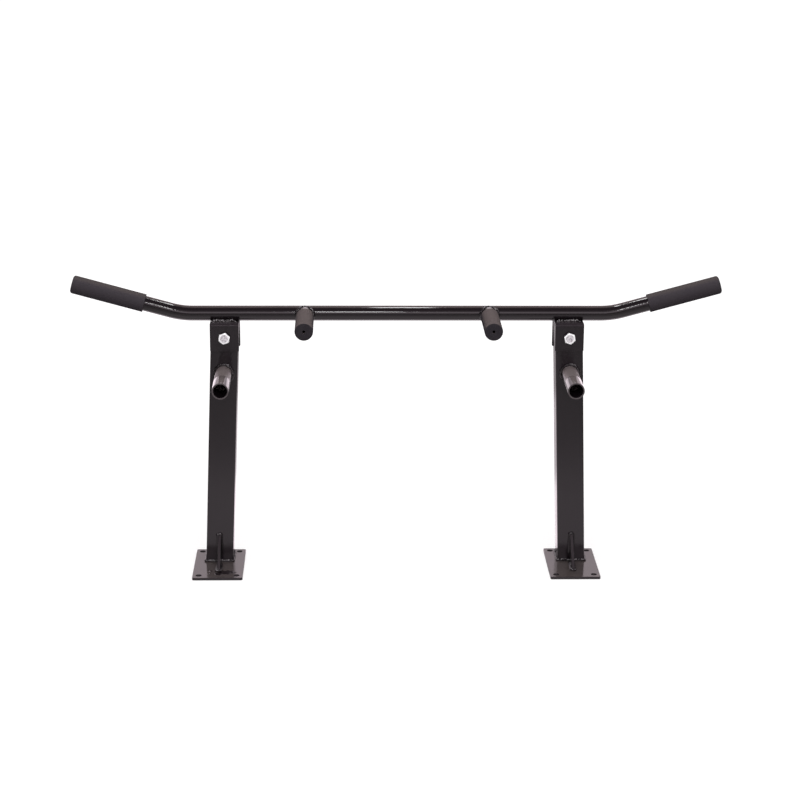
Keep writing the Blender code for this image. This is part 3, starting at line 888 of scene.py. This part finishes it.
@dataclass
class PullUpBar:
    """Bent bar with its two foam grips."""

    radius: float = 0.0137
    wall: float = 0.0026
    bend_x: float = 0.390
    bend_angle: float = math.radians(15.4)
    bend_radius: float = 0.150
    bend_steps: int = 20
    end_length: float = 0.200
    end_ring: float = 0.001
    grip_length: float = 0.134
    grip: FoamGrip = field(default_factory=lambda: FoamGrip(BAR_FOAM, outer=0.0166, edge=0.0065))

    def centre(self) -> Vector:
        """Middle of the straight part."""
        low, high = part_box(BAR_NODE)
        return Vector((0, middle(BAR_NODE).y, low.z + (high.y - low.y) / 2))

    def ahead(self, sign: int) -> Vector:
        """Way in which the bent end on one side points."""
        return Vector((sign * math.cos(self.bend_angle), 0, math.sin(self.bend_angle)))

    def build_tube(self) -> None:
        """Ring drawn out from the middle, swung through the bend and out to the end, then mirrored."""
        shape = bmesh.new()
        bmesh.ops.create_circle(shape, cap_ends=False, segments=RING_STEPS, radius=self.radius)
        move(shape, Matrix.Rotation(math.pi / 2, 4, "Y"))
        tangent = self.bend_radius * math.tan(self.bend_angle / 2)
        start = self.bend_x - tangent
        ring = new_ring(shape, shape.edges[:], Matrix.Translation((start, 0, 0)))
        swung = bmesh.ops.spin(shape, geom=ring, cent=(start, 0, self.bend_radius), axis=(0, -1, 0),
                               dvec=(0, 0, 0), angle=self.bend_angle, steps=self.bend_steps,
                               use_duplicate=False)
        ring = only(Edge, swung["geom_last"])
        for length in (self.end_length - tangent - self.end_ring, self.end_ring):
            ring = new_ring(shape, ring, Matrix.Translation(self.ahead(1) * length))
        bmesh.ops.mirror(shape, geom=whole(shape), axis="X", merge_dist=0.00001)
        move(close(shape), Matrix.Translation(self.centre()))
        wall = finish_piece("bar_tube", shape, BENT_GLOSS, BAR_NODE).modifiers.new("Wall", "SOLIDIFY")
        wall.thickness = self.wall
        wall.offset = -1

    def build(self) -> None:
        """Tube, and a grip on each bent end."""
        self.build_tube()
        for side in Side:
            sign = side.value
            tip = self.centre() + Vector((sign * self.bend_x, 0, 0)) + self.ahead(sign) * self.end_length
            turn = Matrix.Rotation(sign * (math.pi / 2 - self.bend_angle), 4, "Y")
            self.grip.build(f"bar_foam_{side.word}", self.grip_length, Matrix.Translation(tip) @ turn,
                            f"bar_grip_{side.word}")


@dataclass
class SubAssembly:
    """Part of the object that stands on each side."""

    side: Side

    def named(self, kind: str) -> str:
        """Name of this side's node or piece of a kind."""
        return f"{kind}_{self.side.word}"

    def box(self, kind: str) -> tuple[Vector, Vector]:
        """Low and high corner of this side's node of a kind."""
        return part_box(self.named(kind))

    def bar_axis(self) -> Vector:
        """Point of the bar's axis, half way between the sides."""
        low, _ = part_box(BAR_NODE)
        return Vector((0, middle(BAR_NODE).y, low.z + BAR_RADIUS))

    def pivot(self) -> Vector:
        """Point of the bolt's axis in the middle of the arm."""
        joint = next(joint for joint in frame["joints"] if joint["name"] == f"{self.side.word}_arm_swing")
        return Vector(joint["pos_m"])

    def add(self, kind: str, shape: Shape, finish: Finish, node_kind: str, body: str = BAR_BODY,
            sharp: float = 38.0) -> bpy.types.Object:
        """Finish this side's piece of a kind.

        Args:
            kind: Kind of piece.
            shape: Mesh in the frame's place; it is freed.
            finish: Finish of the whole piece.
            node_kind: Kind of node that it stands for.
            body: Body that it rides on.
            sharp: Angle in degrees past which an edge stays sharp.

        Returns:
            The piece.
        """
        return finish_piece(self.named(kind), shape, finish, self.named(node_kind), body, sharp)


@dataclass
class Handle(SubAssembly):
    """Short tube towards the user, welded on the bar, with its foam grip.

    The bead's middle line lies `over_bar` and `over_pipe` off the two pipes. Where their tops and
    undersides meet it is sunk by `sink` and thinner by `pinch`.
    """

    radius: float = 0.0135
    wall: float = 0.0026
    bare: float = 0.0088
    cope_play: float = 0.0001
    over_bar: float = 0.0024
    over_pipe: float = 0.0017
    sink: float = 0.0024
    pinch: float = 0.36
    bead: Bead = field(default_factory=lambda: Bead(0.0036))
    grip: FoamGrip = field(default_factory=lambda: FoamGrip(FOAM))

    def root(self) -> Vector:
        """Point on the bar's axis where the handle starts."""
        return self.bar_axis() + Vector((middle(self.named("handle_tube")).x, 0, 0))

    def build_tube(self) -> None:
        """Pipe coped to the bar."""
        low, _ = self.box("handle_tube")
        reach = self.root().y - low.y
        inner = self.radius - self.wall
        pipe = turned([(inner, 0.0, 0.0), (self.radius, 0.0, 0.0), (self.radius, reach, 0.0),
                       (inner, reach, 0.0)])
        cope = rod(BAR_RADIUS + self.cope_play, -0.03, 0.03, RING_STEPS)
        shape = carved(move(pipe, Facing.USER.matrix), [move(cope, Matrix.Rotation(math.pi / 2, 4, "Y"))])
        self.add("handle_pipe", move(shape, Matrix.Translation(self.root())), PIPE_GLOSS, "handle_tube")

    def build_bead(self) -> None:
        """Bead round the saddle-shaped seam."""
        root = self.root()
        about_bar, about_pipe = BAR_RADIUS + self.over_bar, self.radius + self.over_pipe
        stations = []
        for radial in radials():
            meet = radial.z ** 4
            height = about_pipe * radial.z
            depth = math.sqrt(about_bar ** 2 - height ** 2)
            bar_out = Vector((0, -depth, height)).normalized()
            place = Vector((about_pipe * radial.x, -depth, height - self.sink * meet * radial.z))
            stations.append(Station(root + place, (radial + bar_out).normalized(), 1.0 - self.pinch * meet))
        self.add("handle_bead", self.bead.shape(stations, closed=True), WELD, "handle_weld")

    def build_grip(self) -> None:
        """Foam sleeve pushed on the pipe."""
        low, high = self.box("handle_grip")
        tip = self.root()
        tip.y = self.box("handle_tube")[0].y
        self.grip.build(self.named("handle_foam"), high.y - low.y - self.bare,
                        Matrix.Translation(tip) @ Facing.USER.matrix, self.named("handle_grip"))

    def build(self) -> None:
        """Pipe, bead and grip."""
        self.build_tube()
        self.build_bead()
        self.build_grip()


@dataclass
class SaddleJoint(SubAssembly):
    """Bent strap under the bar, with its beads and its through-bolt.

    The rear flap is longer than the front one by `back_extra`. Each bead's middle line lies
    `bead_out` beside the bar's axis and `bead_down` under it, and ends `bead_end` inside its node.
    """

    steel: float = 0.004
    bend: float = 0.005
    corner: float = 0.003
    hole: float = 0.0065
    across: float = 0.019
    face: float = 0.0178
    dull_face: float = 0.0070
    back_extra: float = 0.0045
    head_turn: float = math.radians(11)
    bolt_radius: float = 0.006
    play: float = 0.0003
    overlap: float = 0.001
    chamfer: float = 0.0006
    thread_pitch: float = 0.00175
    thread_depth: float = 0.0010
    thread_bite: float = 0.0002
    thread_start: float = 0.0009
    thread_turns: int = 7
    collar_radius: float = 0.00825
    nut_height: float = 0.008
    bead_out: float = 0.0130
    bead_down: float = 0.0138
    bead_end: float = 0.001
    bead: Bead = field(default_factory=lambda: Bead(0.0054, pitch=0.0064, ripple=0.40))

    def build_strap(self) -> None:
        """Flat steel bent to an upside-down U, drawn as its outer face and given its thickness."""
        low, high = self.box("saddle")
        half, width, drop = (high.y - low.y) / 2, high.x - low.x, high.z - low.z
        front = drop - self.back_extra
        shape = bmesh.new()
        made = [shape.verts.new((-width / 2, y, z))
                for y, z in ((-half, -front), (-half, 0.0), (half, 0.0), (half, -drop))]
        for before, after in zip(made, made[1:]):
            shape.edges.new((before, after))
        for bend in made[1:3]:
            round_corner(shape, bend, self.bend, 8)
        new_ring(shape, shape.edges[:], Matrix.Translation((width, 0, 0)))
        close(shape)
        tips = [vert for vert in shape.verts if len(vert.link_edges) == 2 and vert.co.z < -front + 0.0001]
        for tip in tips:
            round_corner(shape, tip, self.corner, 6)
        bmesh.ops.solidify(shape, geom=shape.faces[:], thickness=self.steel)
        bmesh.ops.recalc_face_normals(shape, faces=shape.faces)
        centre = middle(self.named("saddle"))
        move(shape, Matrix.Translation((centre.x, centre.y, high.z)))
        drill = move(rod(self.hole, -0.05, 0.05), Matrix.Translation(self.pivot()) @ Facing.USER.matrix)
        soften(self.add("saddle_strap", carved(shape, [drill]), SATIN, "saddle"), 0.0005)

    def build_beads(self) -> None:
        """Beads in the grooves between bar and strap, flat where they are sunk in the strap's steel."""
        axis = self.bar_axis()
        sunk = axis.z - BAR_RADIUS - self.steel / 2
        for face, sign in (("front", -1), ("back", 1)):
            low, high = self.box(f"saddle_weld_{face}")
            crown = Vector((0, sign, 0.6)).normalized()
            ends = [Vector((x, axis.y + sign * self.bead_out, axis.z - self.bead_down))
                    for x in (low.x + self.bead_end, high.x - self.bead_end)]
            shape = self.bead.shape([Station(end, crown) for end in ends], closed=False)
            for vert in shape.verts:
                vert.co.z = max(vert.co.z, sunk)
            self.add(f"saddle_bead_{face}", shape, WELD, f"saddle_weld_{face}")

    def build_bolt(self) -> None:
        """Hex bolt with a rolled thread at its far end."""
        low, high = self.box("pivot_bolt")
        centre = self.pivot()
        top, tail = centre.y - low.y, centre.y - high.y
        seat = centre.y - self.box("saddle")[0].y + self.play
        root = self.bolt_radius - self.thread_depth
        head = hexagon(self.across, seat, top, self.face, both=False)
        threaded = tail + self.thread_pitch * (self.thread_turns + 1)
        shank = turned([(0.0, seat + self.overlap, 0.0), (0.0, tail, 0.0), (root - self.chamfer, tail, 0.0),
                        (root, tail + self.chamfer, 0.0), (root, threaded, 0.0),
                        (self.bolt_radius, threaded + self.overlap, 0.0),
                        (self.bolt_radius, seat + self.overlap, 0.0)], steps=64)
        thread = helix(self.bolt_radius, self.thread_pitch, self.thread_depth + self.thread_bite,
                       tail + self.thread_start, self.thread_turns)
        turn = Matrix.Rotation(-self.side.value * self.head_turn, 4, "Y")
        shape = move(joined([head, shank, thread]), Matrix.Translation(centre) @ turn @ Facing.USER.matrix)
        # The head gets a painted highlight outside its dull middle and painted shade on its flanks.
        finish = replace(ZINC, name="zinc_head", axis=(abs(centre.x), centre.z), dull_face=self.dull_face)
        soften(self.add("bolt", shape, finish, "pivot_bolt", sharp=28.0), 0.00015)

    def build_nut(self) -> None:
        """Flat washer and lock nut on the far side."""
        centre = self.pivot()
        to_space = Matrix.Translation(centre) @ Facing.BACK.matrix
        bore = self.bolt_radius + self.play
        low, high = self.box("nut_washer")
        near, far = low.y - centre.y, high.y - centre.y
        radius = (high.x - low.x) / 2
        washer = turned([(bore, near, 0.0), (radius, near, 0.0003), (radius, far, 0.0005), (bore, far, 0.0)])
        self.add("washer", move(washer, to_space), ZINC, "nut_washer")
        low, high = self.box("lock_nut")
        near, far = low.y - centre.y, high.y - centre.y
        top = near + self.nut_height
        body = carved(hexagon(self.across, near, top, self.face, both=True),
                      [rod(bore, near - 0.01, far + 0.01)])
        collar = turned([(bore, top - self.overlap, 0.0), (self.collar_radius, top - self.overlap, 0.0),
                         (self.collar_radius, far, 0.0014), (bore + 0.0008, far - 0.0003, 0.0003),
                         (bore, far - 0.0012, 0.0)])
        shape = move(joined([body, collar]), to_space)
        soften(self.add("nut", shape, ZINC, "lock_nut", sharp=28.0), 0.00015)

    def build(self) -> None:
        """Strap, beads and fasteners."""
        self.build_strap()
        self.build_beads()
        self.build_bolt()
        self.build_nut()


@dataclass
class Arm(SubAssembly):
    """Leaning square tube with its foot bead, which is thinner by `lean_side` on the flanks."""

    size: float = 0.050
    wall: float = 0.0025
    corner: float = 0.003
    flare: float = math.radians(2.1)
    hole: float = 0.0065
    bead: Bead = field(default_factory=lambda: Bead(0.0034))
    bead_seat: float = 0.0012
    lean_side: float = 0.60

    def at(self, height: float) -> Vector:
        """Point of the arm's middle line at a height of the frame."""
        pivot = self.pivot()
        out = self.side.value * (pivot.z - height) * math.tan(self.flare)
        return Vector((pivot.x + out, pivot.y, height))

    def build_tube(self) -> None:
        """Square ring drawn up, its foot sheared level, then leaned out and drilled."""
        low, high = self.box("arm")
        pivot = self.pivot()
        lean = self.size / 2 * math.sin(self.flare)
        top = (high.z - pivot.z - lean) / math.cos(self.flare)
        foot = (low.z - pivot.z) / math.cos(self.flare)
        section = outline(box_corners(self.size, self.size, self.corner))
        shape = move(section, Matrix.Translation((0, 0, foot)))
        bmesh.ops.inset_region(shape, faces=shape.faces[:], thickness=self.wall, use_even_offset=True,
                               use_boundary=True)
        inner = max(shape.faces, key=lambda face: len(face.verts))
        bmesh.ops.delete(shape, geom=[inner], context="FACES_ONLY")
        base = shape.verts[:]
        raised(shape, top - foot)
        shear = Matrix.Identity(4)
        shear[2][0] = -self.side.value * math.tan(self.flare)
        bmesh.ops.transform(shape, matrix=shear, verts=base)
        shape = carved(close(shape), [move(rod(self.hole, -self.size, self.size), Facing.USER.matrix)])
        turn = Matrix.Rotation(-self.side.value * self.flare, 4, "Y")
        move(shape, Matrix.Translation(pivot) @ turn)
        soften(self.add("arm_tube", shape, SATIN, "arm", self.side.body), 0.0003)

    def build_foot_bead(self) -> None:
        """Bead round the foot."""
        seat = self.bead_seat
        place = Matrix.Translation(self.at(self.box("wall_plate")[1].z + seat))
        wide = self.size + 2 * seat
        core = self.size / 2 - self.corner
        stations = []
        for point in outline_points(box_corners(wide / math.cos(self.flare), wide, self.corner + seat)):
            inner = Vector([math.copysign(min(abs(part), core), part) for part in point])
            outward = ((point - inner).normalized() + Vector((0, 0, 1))).normalized()
            stations.append(Station(place @ point, outward, 1.0 - self.lean_side * abs(outward.x)))
        self.add("foot_bead", self.bead.shape(stations, closed=True), WELD, "foot_weld", self.side.body)

    def build(self) -> None:
        """Tube and foot bead."""
        self.build_tube()
        self.build_foot_bead()


@dataclass
class AccessorySocket(SubAssembly):
    """Open round tube on the arm's front face, with its root bead."""

    wall: float = 0.0025
    bead: Bead = field(default_factory=lambda: Bead(0.0032, pitch=0.0060))
    bead_seat: float = 0.0014

    def build(self) -> None:
        """Tube and bead."""
        low, high = self.box("socket_tube")
        centre = (low + high) / 2
        radius, half = (high.x - low.x) / 2, (high.y - low.y) / 2
        inner = radius - self.wall
        tube = turned([(inner, -half, 0.0), (radius, -half, 0.0), (radius, half, 0.0003),
                       (inner, half, 0.0009)], steps=112)
        move(tube, Matrix.Translation(centre) @ Facing.USER.matrix)
        self.add("socket_pipe", tube, RIM_GLOSS, "socket_tube", self.side.body)
        seat = self.bead_seat
        root = Vector((centre.x, high.y - seat, centre.z))
        stations = [Station(root + radial * (radius + seat), (radial + Vector((0, -1, 0))).normalized())
                    for radial in radials()]
        self.add("socket_bead", self.bead.shape(stations, closed=True), WELD, "socket_weld", self.side.body)


@dataclass
class WallPlate(SubAssembly):
    """Flat plate with four screw holes."""

    corner: float = 0.005
    hole: float = 0.00525
    inset_x: float = 0.0115
    inset_y: float = 0.0125

    def build(self) -> None:
        """Plate, drilled and with its edges broken; the left one is scuffed before its gusset."""
        low, high = self.box("wall_plate")
        size, centre = high - low, (low + high) / 2
        drills = [move(rod(self.hole, -size.z, 2 * size.z, 48), Matrix.Translation((x, y, 0)))
                  for x in (-size.x / 2 + self.inset_x, size.x / 2 - self.inset_x)
                  for y in (-size.y / 2 + self.inset_y, size.y / 2 - self.inset_y)]
        shape = carved(slab(box_corners(size.x, size.y, self.corner), 0.0, size.z), drills)
        move(shape, Matrix.Translation((centre.x, centre.y, low.z)))
        finish = SCUFFED_GLOSS if self.side is Side.LEFT else GLOSS
        soften(self.add("plate", shape, finish, "wall_plate", self.side.body), 0.0006, 3)


@dataclass
class Gusset(SubAssembly):
    """Triangular rib between arm and plate, with the beads of its two seams.

    Its tips are cut blunt by `tip`, and its inner corner is snipped by `snip`.
    """

    tip: float = 0.004
    snip: float = 0.0096
    corner: float = 0.0008
    bead: Bead = field(default_factory=lambda: Bead(0.0026, pitch=0.0050))
    bead_seat: float = 0.0011

    def build_rib(self) -> None:
        """Plate cut to a triangle with blunt tips and a snipped inner corner."""
        low, high = self.box("gusset")
        size = high - low
        shape = slab([(0.0, self.snip, 0.0), (0.0, size.z, self.corner), (-self.tip, size.z, self.corner),
                      (-size.y, self.tip, self.corner), (-size.y, 0.0, self.corner), (-self.snip, 0.0, 0.0)],
                     -size.x / 2, size.x / 2)
        upright = Matrix.Rotation(math.pi / 2, 4, "Z") @ Matrix.Rotation(math.pi / 2, 4, "X")
        move(shape, Matrix.Translation(((low.x + high.x) / 2, high.y, low.z)) @ upright)
        soften(self.add("gusset_rib", shape, RIB_GLOSS, "gusset", self.side.body), 0.0004)

    def seam(self, length: float, half: float) -> list[Vector]:
        """Path up one side of the rib, round its tip and back down.

        Args:
            length: Length of the seam.
            half: Half the rib's thickness.

        Returns:
            Points in order, open at the snipped corner.
        """
        side, tip = half + self.bead_seat, length + self.bead_seat
        start = self.snip + self.bead.radius
        points = outline_points([(-side, start, 0.0), (-side, tip, side), (side, tip, side),
                                 (side, start, 0.0)])
        first = next(index for index, point in enumerate(points) if point.x < 0 and point.y < start + 0.0001)
        ordered = points[first:] + points[:first]
        if (ordered[1] - ordered[0]).length < 2 * half + 4 * self.bead_seat and ordered[1].x > 0:
            ordered = [ordered[0], *reversed(ordered[1:])]
        return ordered

    def build_beads(self) -> None:
        """Beads on the plate and on the arm."""
        low, high = self.box("gusset")
        size = high - low
        half = size.x / 2
        corner = Vector(((low.x + high.x) / 2, high.y, low.z))
        for surface, turn, length, normal in (
                ("plate", Matrix.Diagonal((1, -1, 1, 1)), size.y, Vector((0, 0, 1))),
                ("arm", Matrix.Rotation(math.pi / 2, 4, "X"), size.z, Vector((0, -1, 0)))):
            place = Matrix.Translation(corner + normal * self.bead_seat) @ turn
            stations = []
            for point in self.seam(length, half):
                away = turn.to_3x3() @ (point - Vector((0, min(point.y, length - half), 0)))
                stations.append(Station(place @ point, (away.normalized() + normal).normalized()))
            self.add(f"gusset_bead_{surface}", self.bead.shape(stations, closed=False), WELD,
                     f"gusset_weld_{surface}", self.side.body)

    def build(self) -> None:
        """Rib and beads."""
        self.build_rib()
        self.build_beads()


@dataclass(frozen=True)
class Lamp:
    """Rectangular softbox that faces a point."""

    name: str
    place: tuple[float, float, float]
    target: tuple[float, float, float]
    width: float
    height: float
    radiance: float
    mirrored: bool = True

    def hang(self) -> None:
        """Add the lamp; its power follows from its radiance and its area."""
        light = bpy.data.lights.new(self.name, "AREA")
        light.shape = "RECTANGLE"
        light.size = self.width
        light.size_y = self.height
        light.energy = self.radiance * math.pi * self.width * self.height
        lamp = new_object(self.name, light)
        lamp.location = self.place
        away = Vector(self.place) - Vector(self.target)
        lamp.rotation_euler = away.to_track_quat("Z", "Y").to_euler()
        lamp.visible_glossy = self.mirrored


@dataclass
class Studio:
    """White sweep, soft light and the camera.

    `room` is what reflections see round the X axis, as degrees up from the front and a level.
    `floor_near` and `floor_far` are what they see on the floor before and behind the object, as
    steps of a gain, a start and an end along Y.
    """

    camera_place: tuple[float, float, float] = (-0.09765, -3.65808, 1.40264)
    pitch: float = math.radians(16.4223)
    yaw: float = math.radians(-1.61086)
    roll: float = math.radians(0.41)
    focal_pixels: float = 2103.0
    picture_pixels: float = 800.0
    sensor: float = 36.0
    ambient: float = 0.30
    floor_size: float = 60.0
    floor_drop: float = 0.0003
    floor_colour: Colour = (0.30, 0.285, 0.288)
    floor_base: float = 0.05
    floor_near: Steps = ((0.52, 0.02, 0.05), (-0.40, 0.34, 0.80), (-0.08, 1.10, 1.50))
    floor_far: Steps = ((1.25, 0.03, 0.14), (-0.70, 0.40, 0.60), (-0.30, 1.00, 1.20))
    side_glow: float = 2.2
    mirror_tint: Colour = (1.0, 0.87, 0.94)
    room: tuple[tuple[float, float], ...] = (
        (-180, 0.35), (-150, 0.30), (-100, 0.30), (-20, 0.45), (0, 0.32), (8, 0.60), (14, 1.95), (24, 1.95),
        (31, 0.72), (46, 0.41), (54, 0.10), (96, 0.12), (113, 0.22), (146, 0.16), (155, 1.00), (163, 1.25),
        (170, 0.65), (180, 0.35))
    lamps: tuple[Lamp, ...] = (
        Lamp("front_softbox", (0.0, -3.40, 2.20), (0.0, 0.0, 0.35), 3.0, 2.4, 4.0, mirrored=False),
        Lamp("overhead", (0.0, -0.30, 2.60), (0.0, 0.0, 0.30), 2.2, 1.8, 3.0, mirrored=False),
        Lamp("front_lamp", (-0.07, -2.85, 2.22), (0.0, 0.0, 0.45), 0.32, 0.26, 30.0),
        Lamp("back_lamp", (0.067, 0.68, 2.48), (0.067, 0.66, 0.45), 0.16, 0.65, 13.0),
    )

    def rays(self, graph: Graph) -> tuple[Signal, Signal]:
        """Share of camera rays, and of rays that were mirrored or came through something."""
        seen, glossy, through = (graph.node("ShaderNodeLightPath", output=name)
                                 for name in ("Is Camera Ray", "Is Glossy Ray", "Is Transmission Ray"))
        return seen, glossy + through

    def tinted(self, graph: Graph, mirrored: Signal) -> Signal:
        """White, and the tint of the room in reflections."""
        return graph.blend(mirrored, (1.0, 1.0, 1.0), self.mirror_tint)

    def build_floor(self) -> None:
        """Pale floor: white to the camera, pale in reflections, and still shaded by the object."""
        shape = bmesh.new()
        bmesh.ops.create_grid(shape, x_segments=1, y_segments=1, size=self.floor_size / 2)
        floor = new_object("floor", new_mesh("floor", shape))
        floor.location.z = -self.floor_drop
        material = bpy.data.materials.new("floor")
        material.use_nodes = True
        graph = Graph(material.node_tree)
        shader = material.node_tree.nodes["Principled BSDF"].inputs
        graph.feed(shader["Base Color"], (*self.floor_colour, 1.0))
        graph.feed(shader["Roughness"], 0.9)
        graph.feed(shader["Specular IOR Level"], 0.0)
        seen, mirrored = self.rays(graph)
        graph.feed(shader["Emission Color"], self.tinted(graph, mirrored))
        place = graph.coordinate("Object")
        x, y = graph.parts(place, "XY")
        level = sum((gain * graph.step(way, start, end)
                     for way, steps in ((-y, self.floor_near), (y, self.floor_far))
                     for gain, start, end in steps), self.floor_base)
        aside = graph.step(abs(x), 0.50, 0.75) * (1.0 - graph.step(y, 1.20, 1.60))
        far_aside = graph.step(abs(x), 0.42, 0.56) * graph.step(y, 1.10, 1.40)
        level = level * (1.0 - 0.85 * aside) + self.side_glow * far_aside
        apart = graph.node("ShaderNodeVectorMath", {"operation": "LENGTH"}, {0: place}, output="Value")
        white = 0.75 + 0.24 * graph.step(apart, 0.30, 2.00)
        graph.feed(shader["Emission Strength"], seen * white + mirrored * level)
        floor.data.materials.append(material)

    def build_world(self) -> None:
        """White to the camera; reflections see a white room with a dark band above the user."""
        world = bpy.data.worlds.new("studio")
        bpy.context.scene.world = world
        world.use_nodes = True
        graph = Graph(world.node_tree)
        background = world.node_tree.nodes["Background"].inputs
        x, y, z = graph.parts(graph.coordinate("Generated"))
        angle = z.calc("ARCTAN2", z, -y) / math.tau + 0.5
        stops = [(degrees / 360 + 0.5, level / 2) for degrees, level in self.room]
        band = 2.0 * graph.node("ShaderNodeValToRGB", {"stops": stops}, {0: angle})
        aside = graph.step(abs(x), 0.55, 0.85) * (1.0 - graph.step(y, -0.10, 0.50))
        low = graph.step(abs(x), 0.20, 0.26) * graph.step(y, 0.30, 0.60) * (1.0 - graph.step(z, 0.10, 0.20))
        seen, mirrored = self.rays(graph)
        level = mirrored * (band * (1.0 - 0.90 * aside) + self.side_glow * low)
        plain = 1.0 - seen - mirrored
        graph.feed(background["Strength"], seen + level + plain * self.ambient)
        graph.feed(background["Color"], self.tinted(graph, mirrored))

    def build_camera(self) -> None:
        """Camera at the photograph's place, turned by pitch, yaw and roll."""
        ahead = Vector((-math.sin(self.yaw) * math.cos(self.pitch), math.cos(self.yaw) * math.cos(self.pitch),
                        -math.sin(self.pitch)))
        level = Vector((math.cos(self.yaw), math.sin(self.yaw), 0))
        top = level.cross(ahead)
        right = level * math.cos(self.roll) + top * math.sin(self.roll)
        up = top * math.cos(self.roll) - level * math.sin(self.roll)
        data = bpy.data.cameras.new("camera")
        data.sensor_width = self.sensor
        data.lens = self.sensor * self.focal_pixels / self.picture_pixels
        camera = new_object("camera", data)
        turn = Matrix((right, up, -ahead)).transposed().to_4x4()
        camera.matrix_world = Matrix.Translation(self.camera_place) @ turn
        bpy.context.scene.camera = camera

    def build(self) -> None:
        """Floor, world, lamps and camera."""
        bpy.context.scene.view_settings.view_transform = "Standard"
        self.build_camera()
        self.build_floor()
        self.build_world()
        for lamp in self.lamps:
            lamp.hang()


def main() -> None:
    """Build the studio and every sub-assembly."""
    logging.basicConfig(level=logging.INFO, format="%(name)s: %(message)s")
    Studio().build()
    PullUpBar().build()
    for side in Side:
        for kind in (Handle, SaddleJoint, Arm, AccessorySocket, WallPlate, Gusset):
            kind(side).build()


if __name__ == "__main__":
    main()
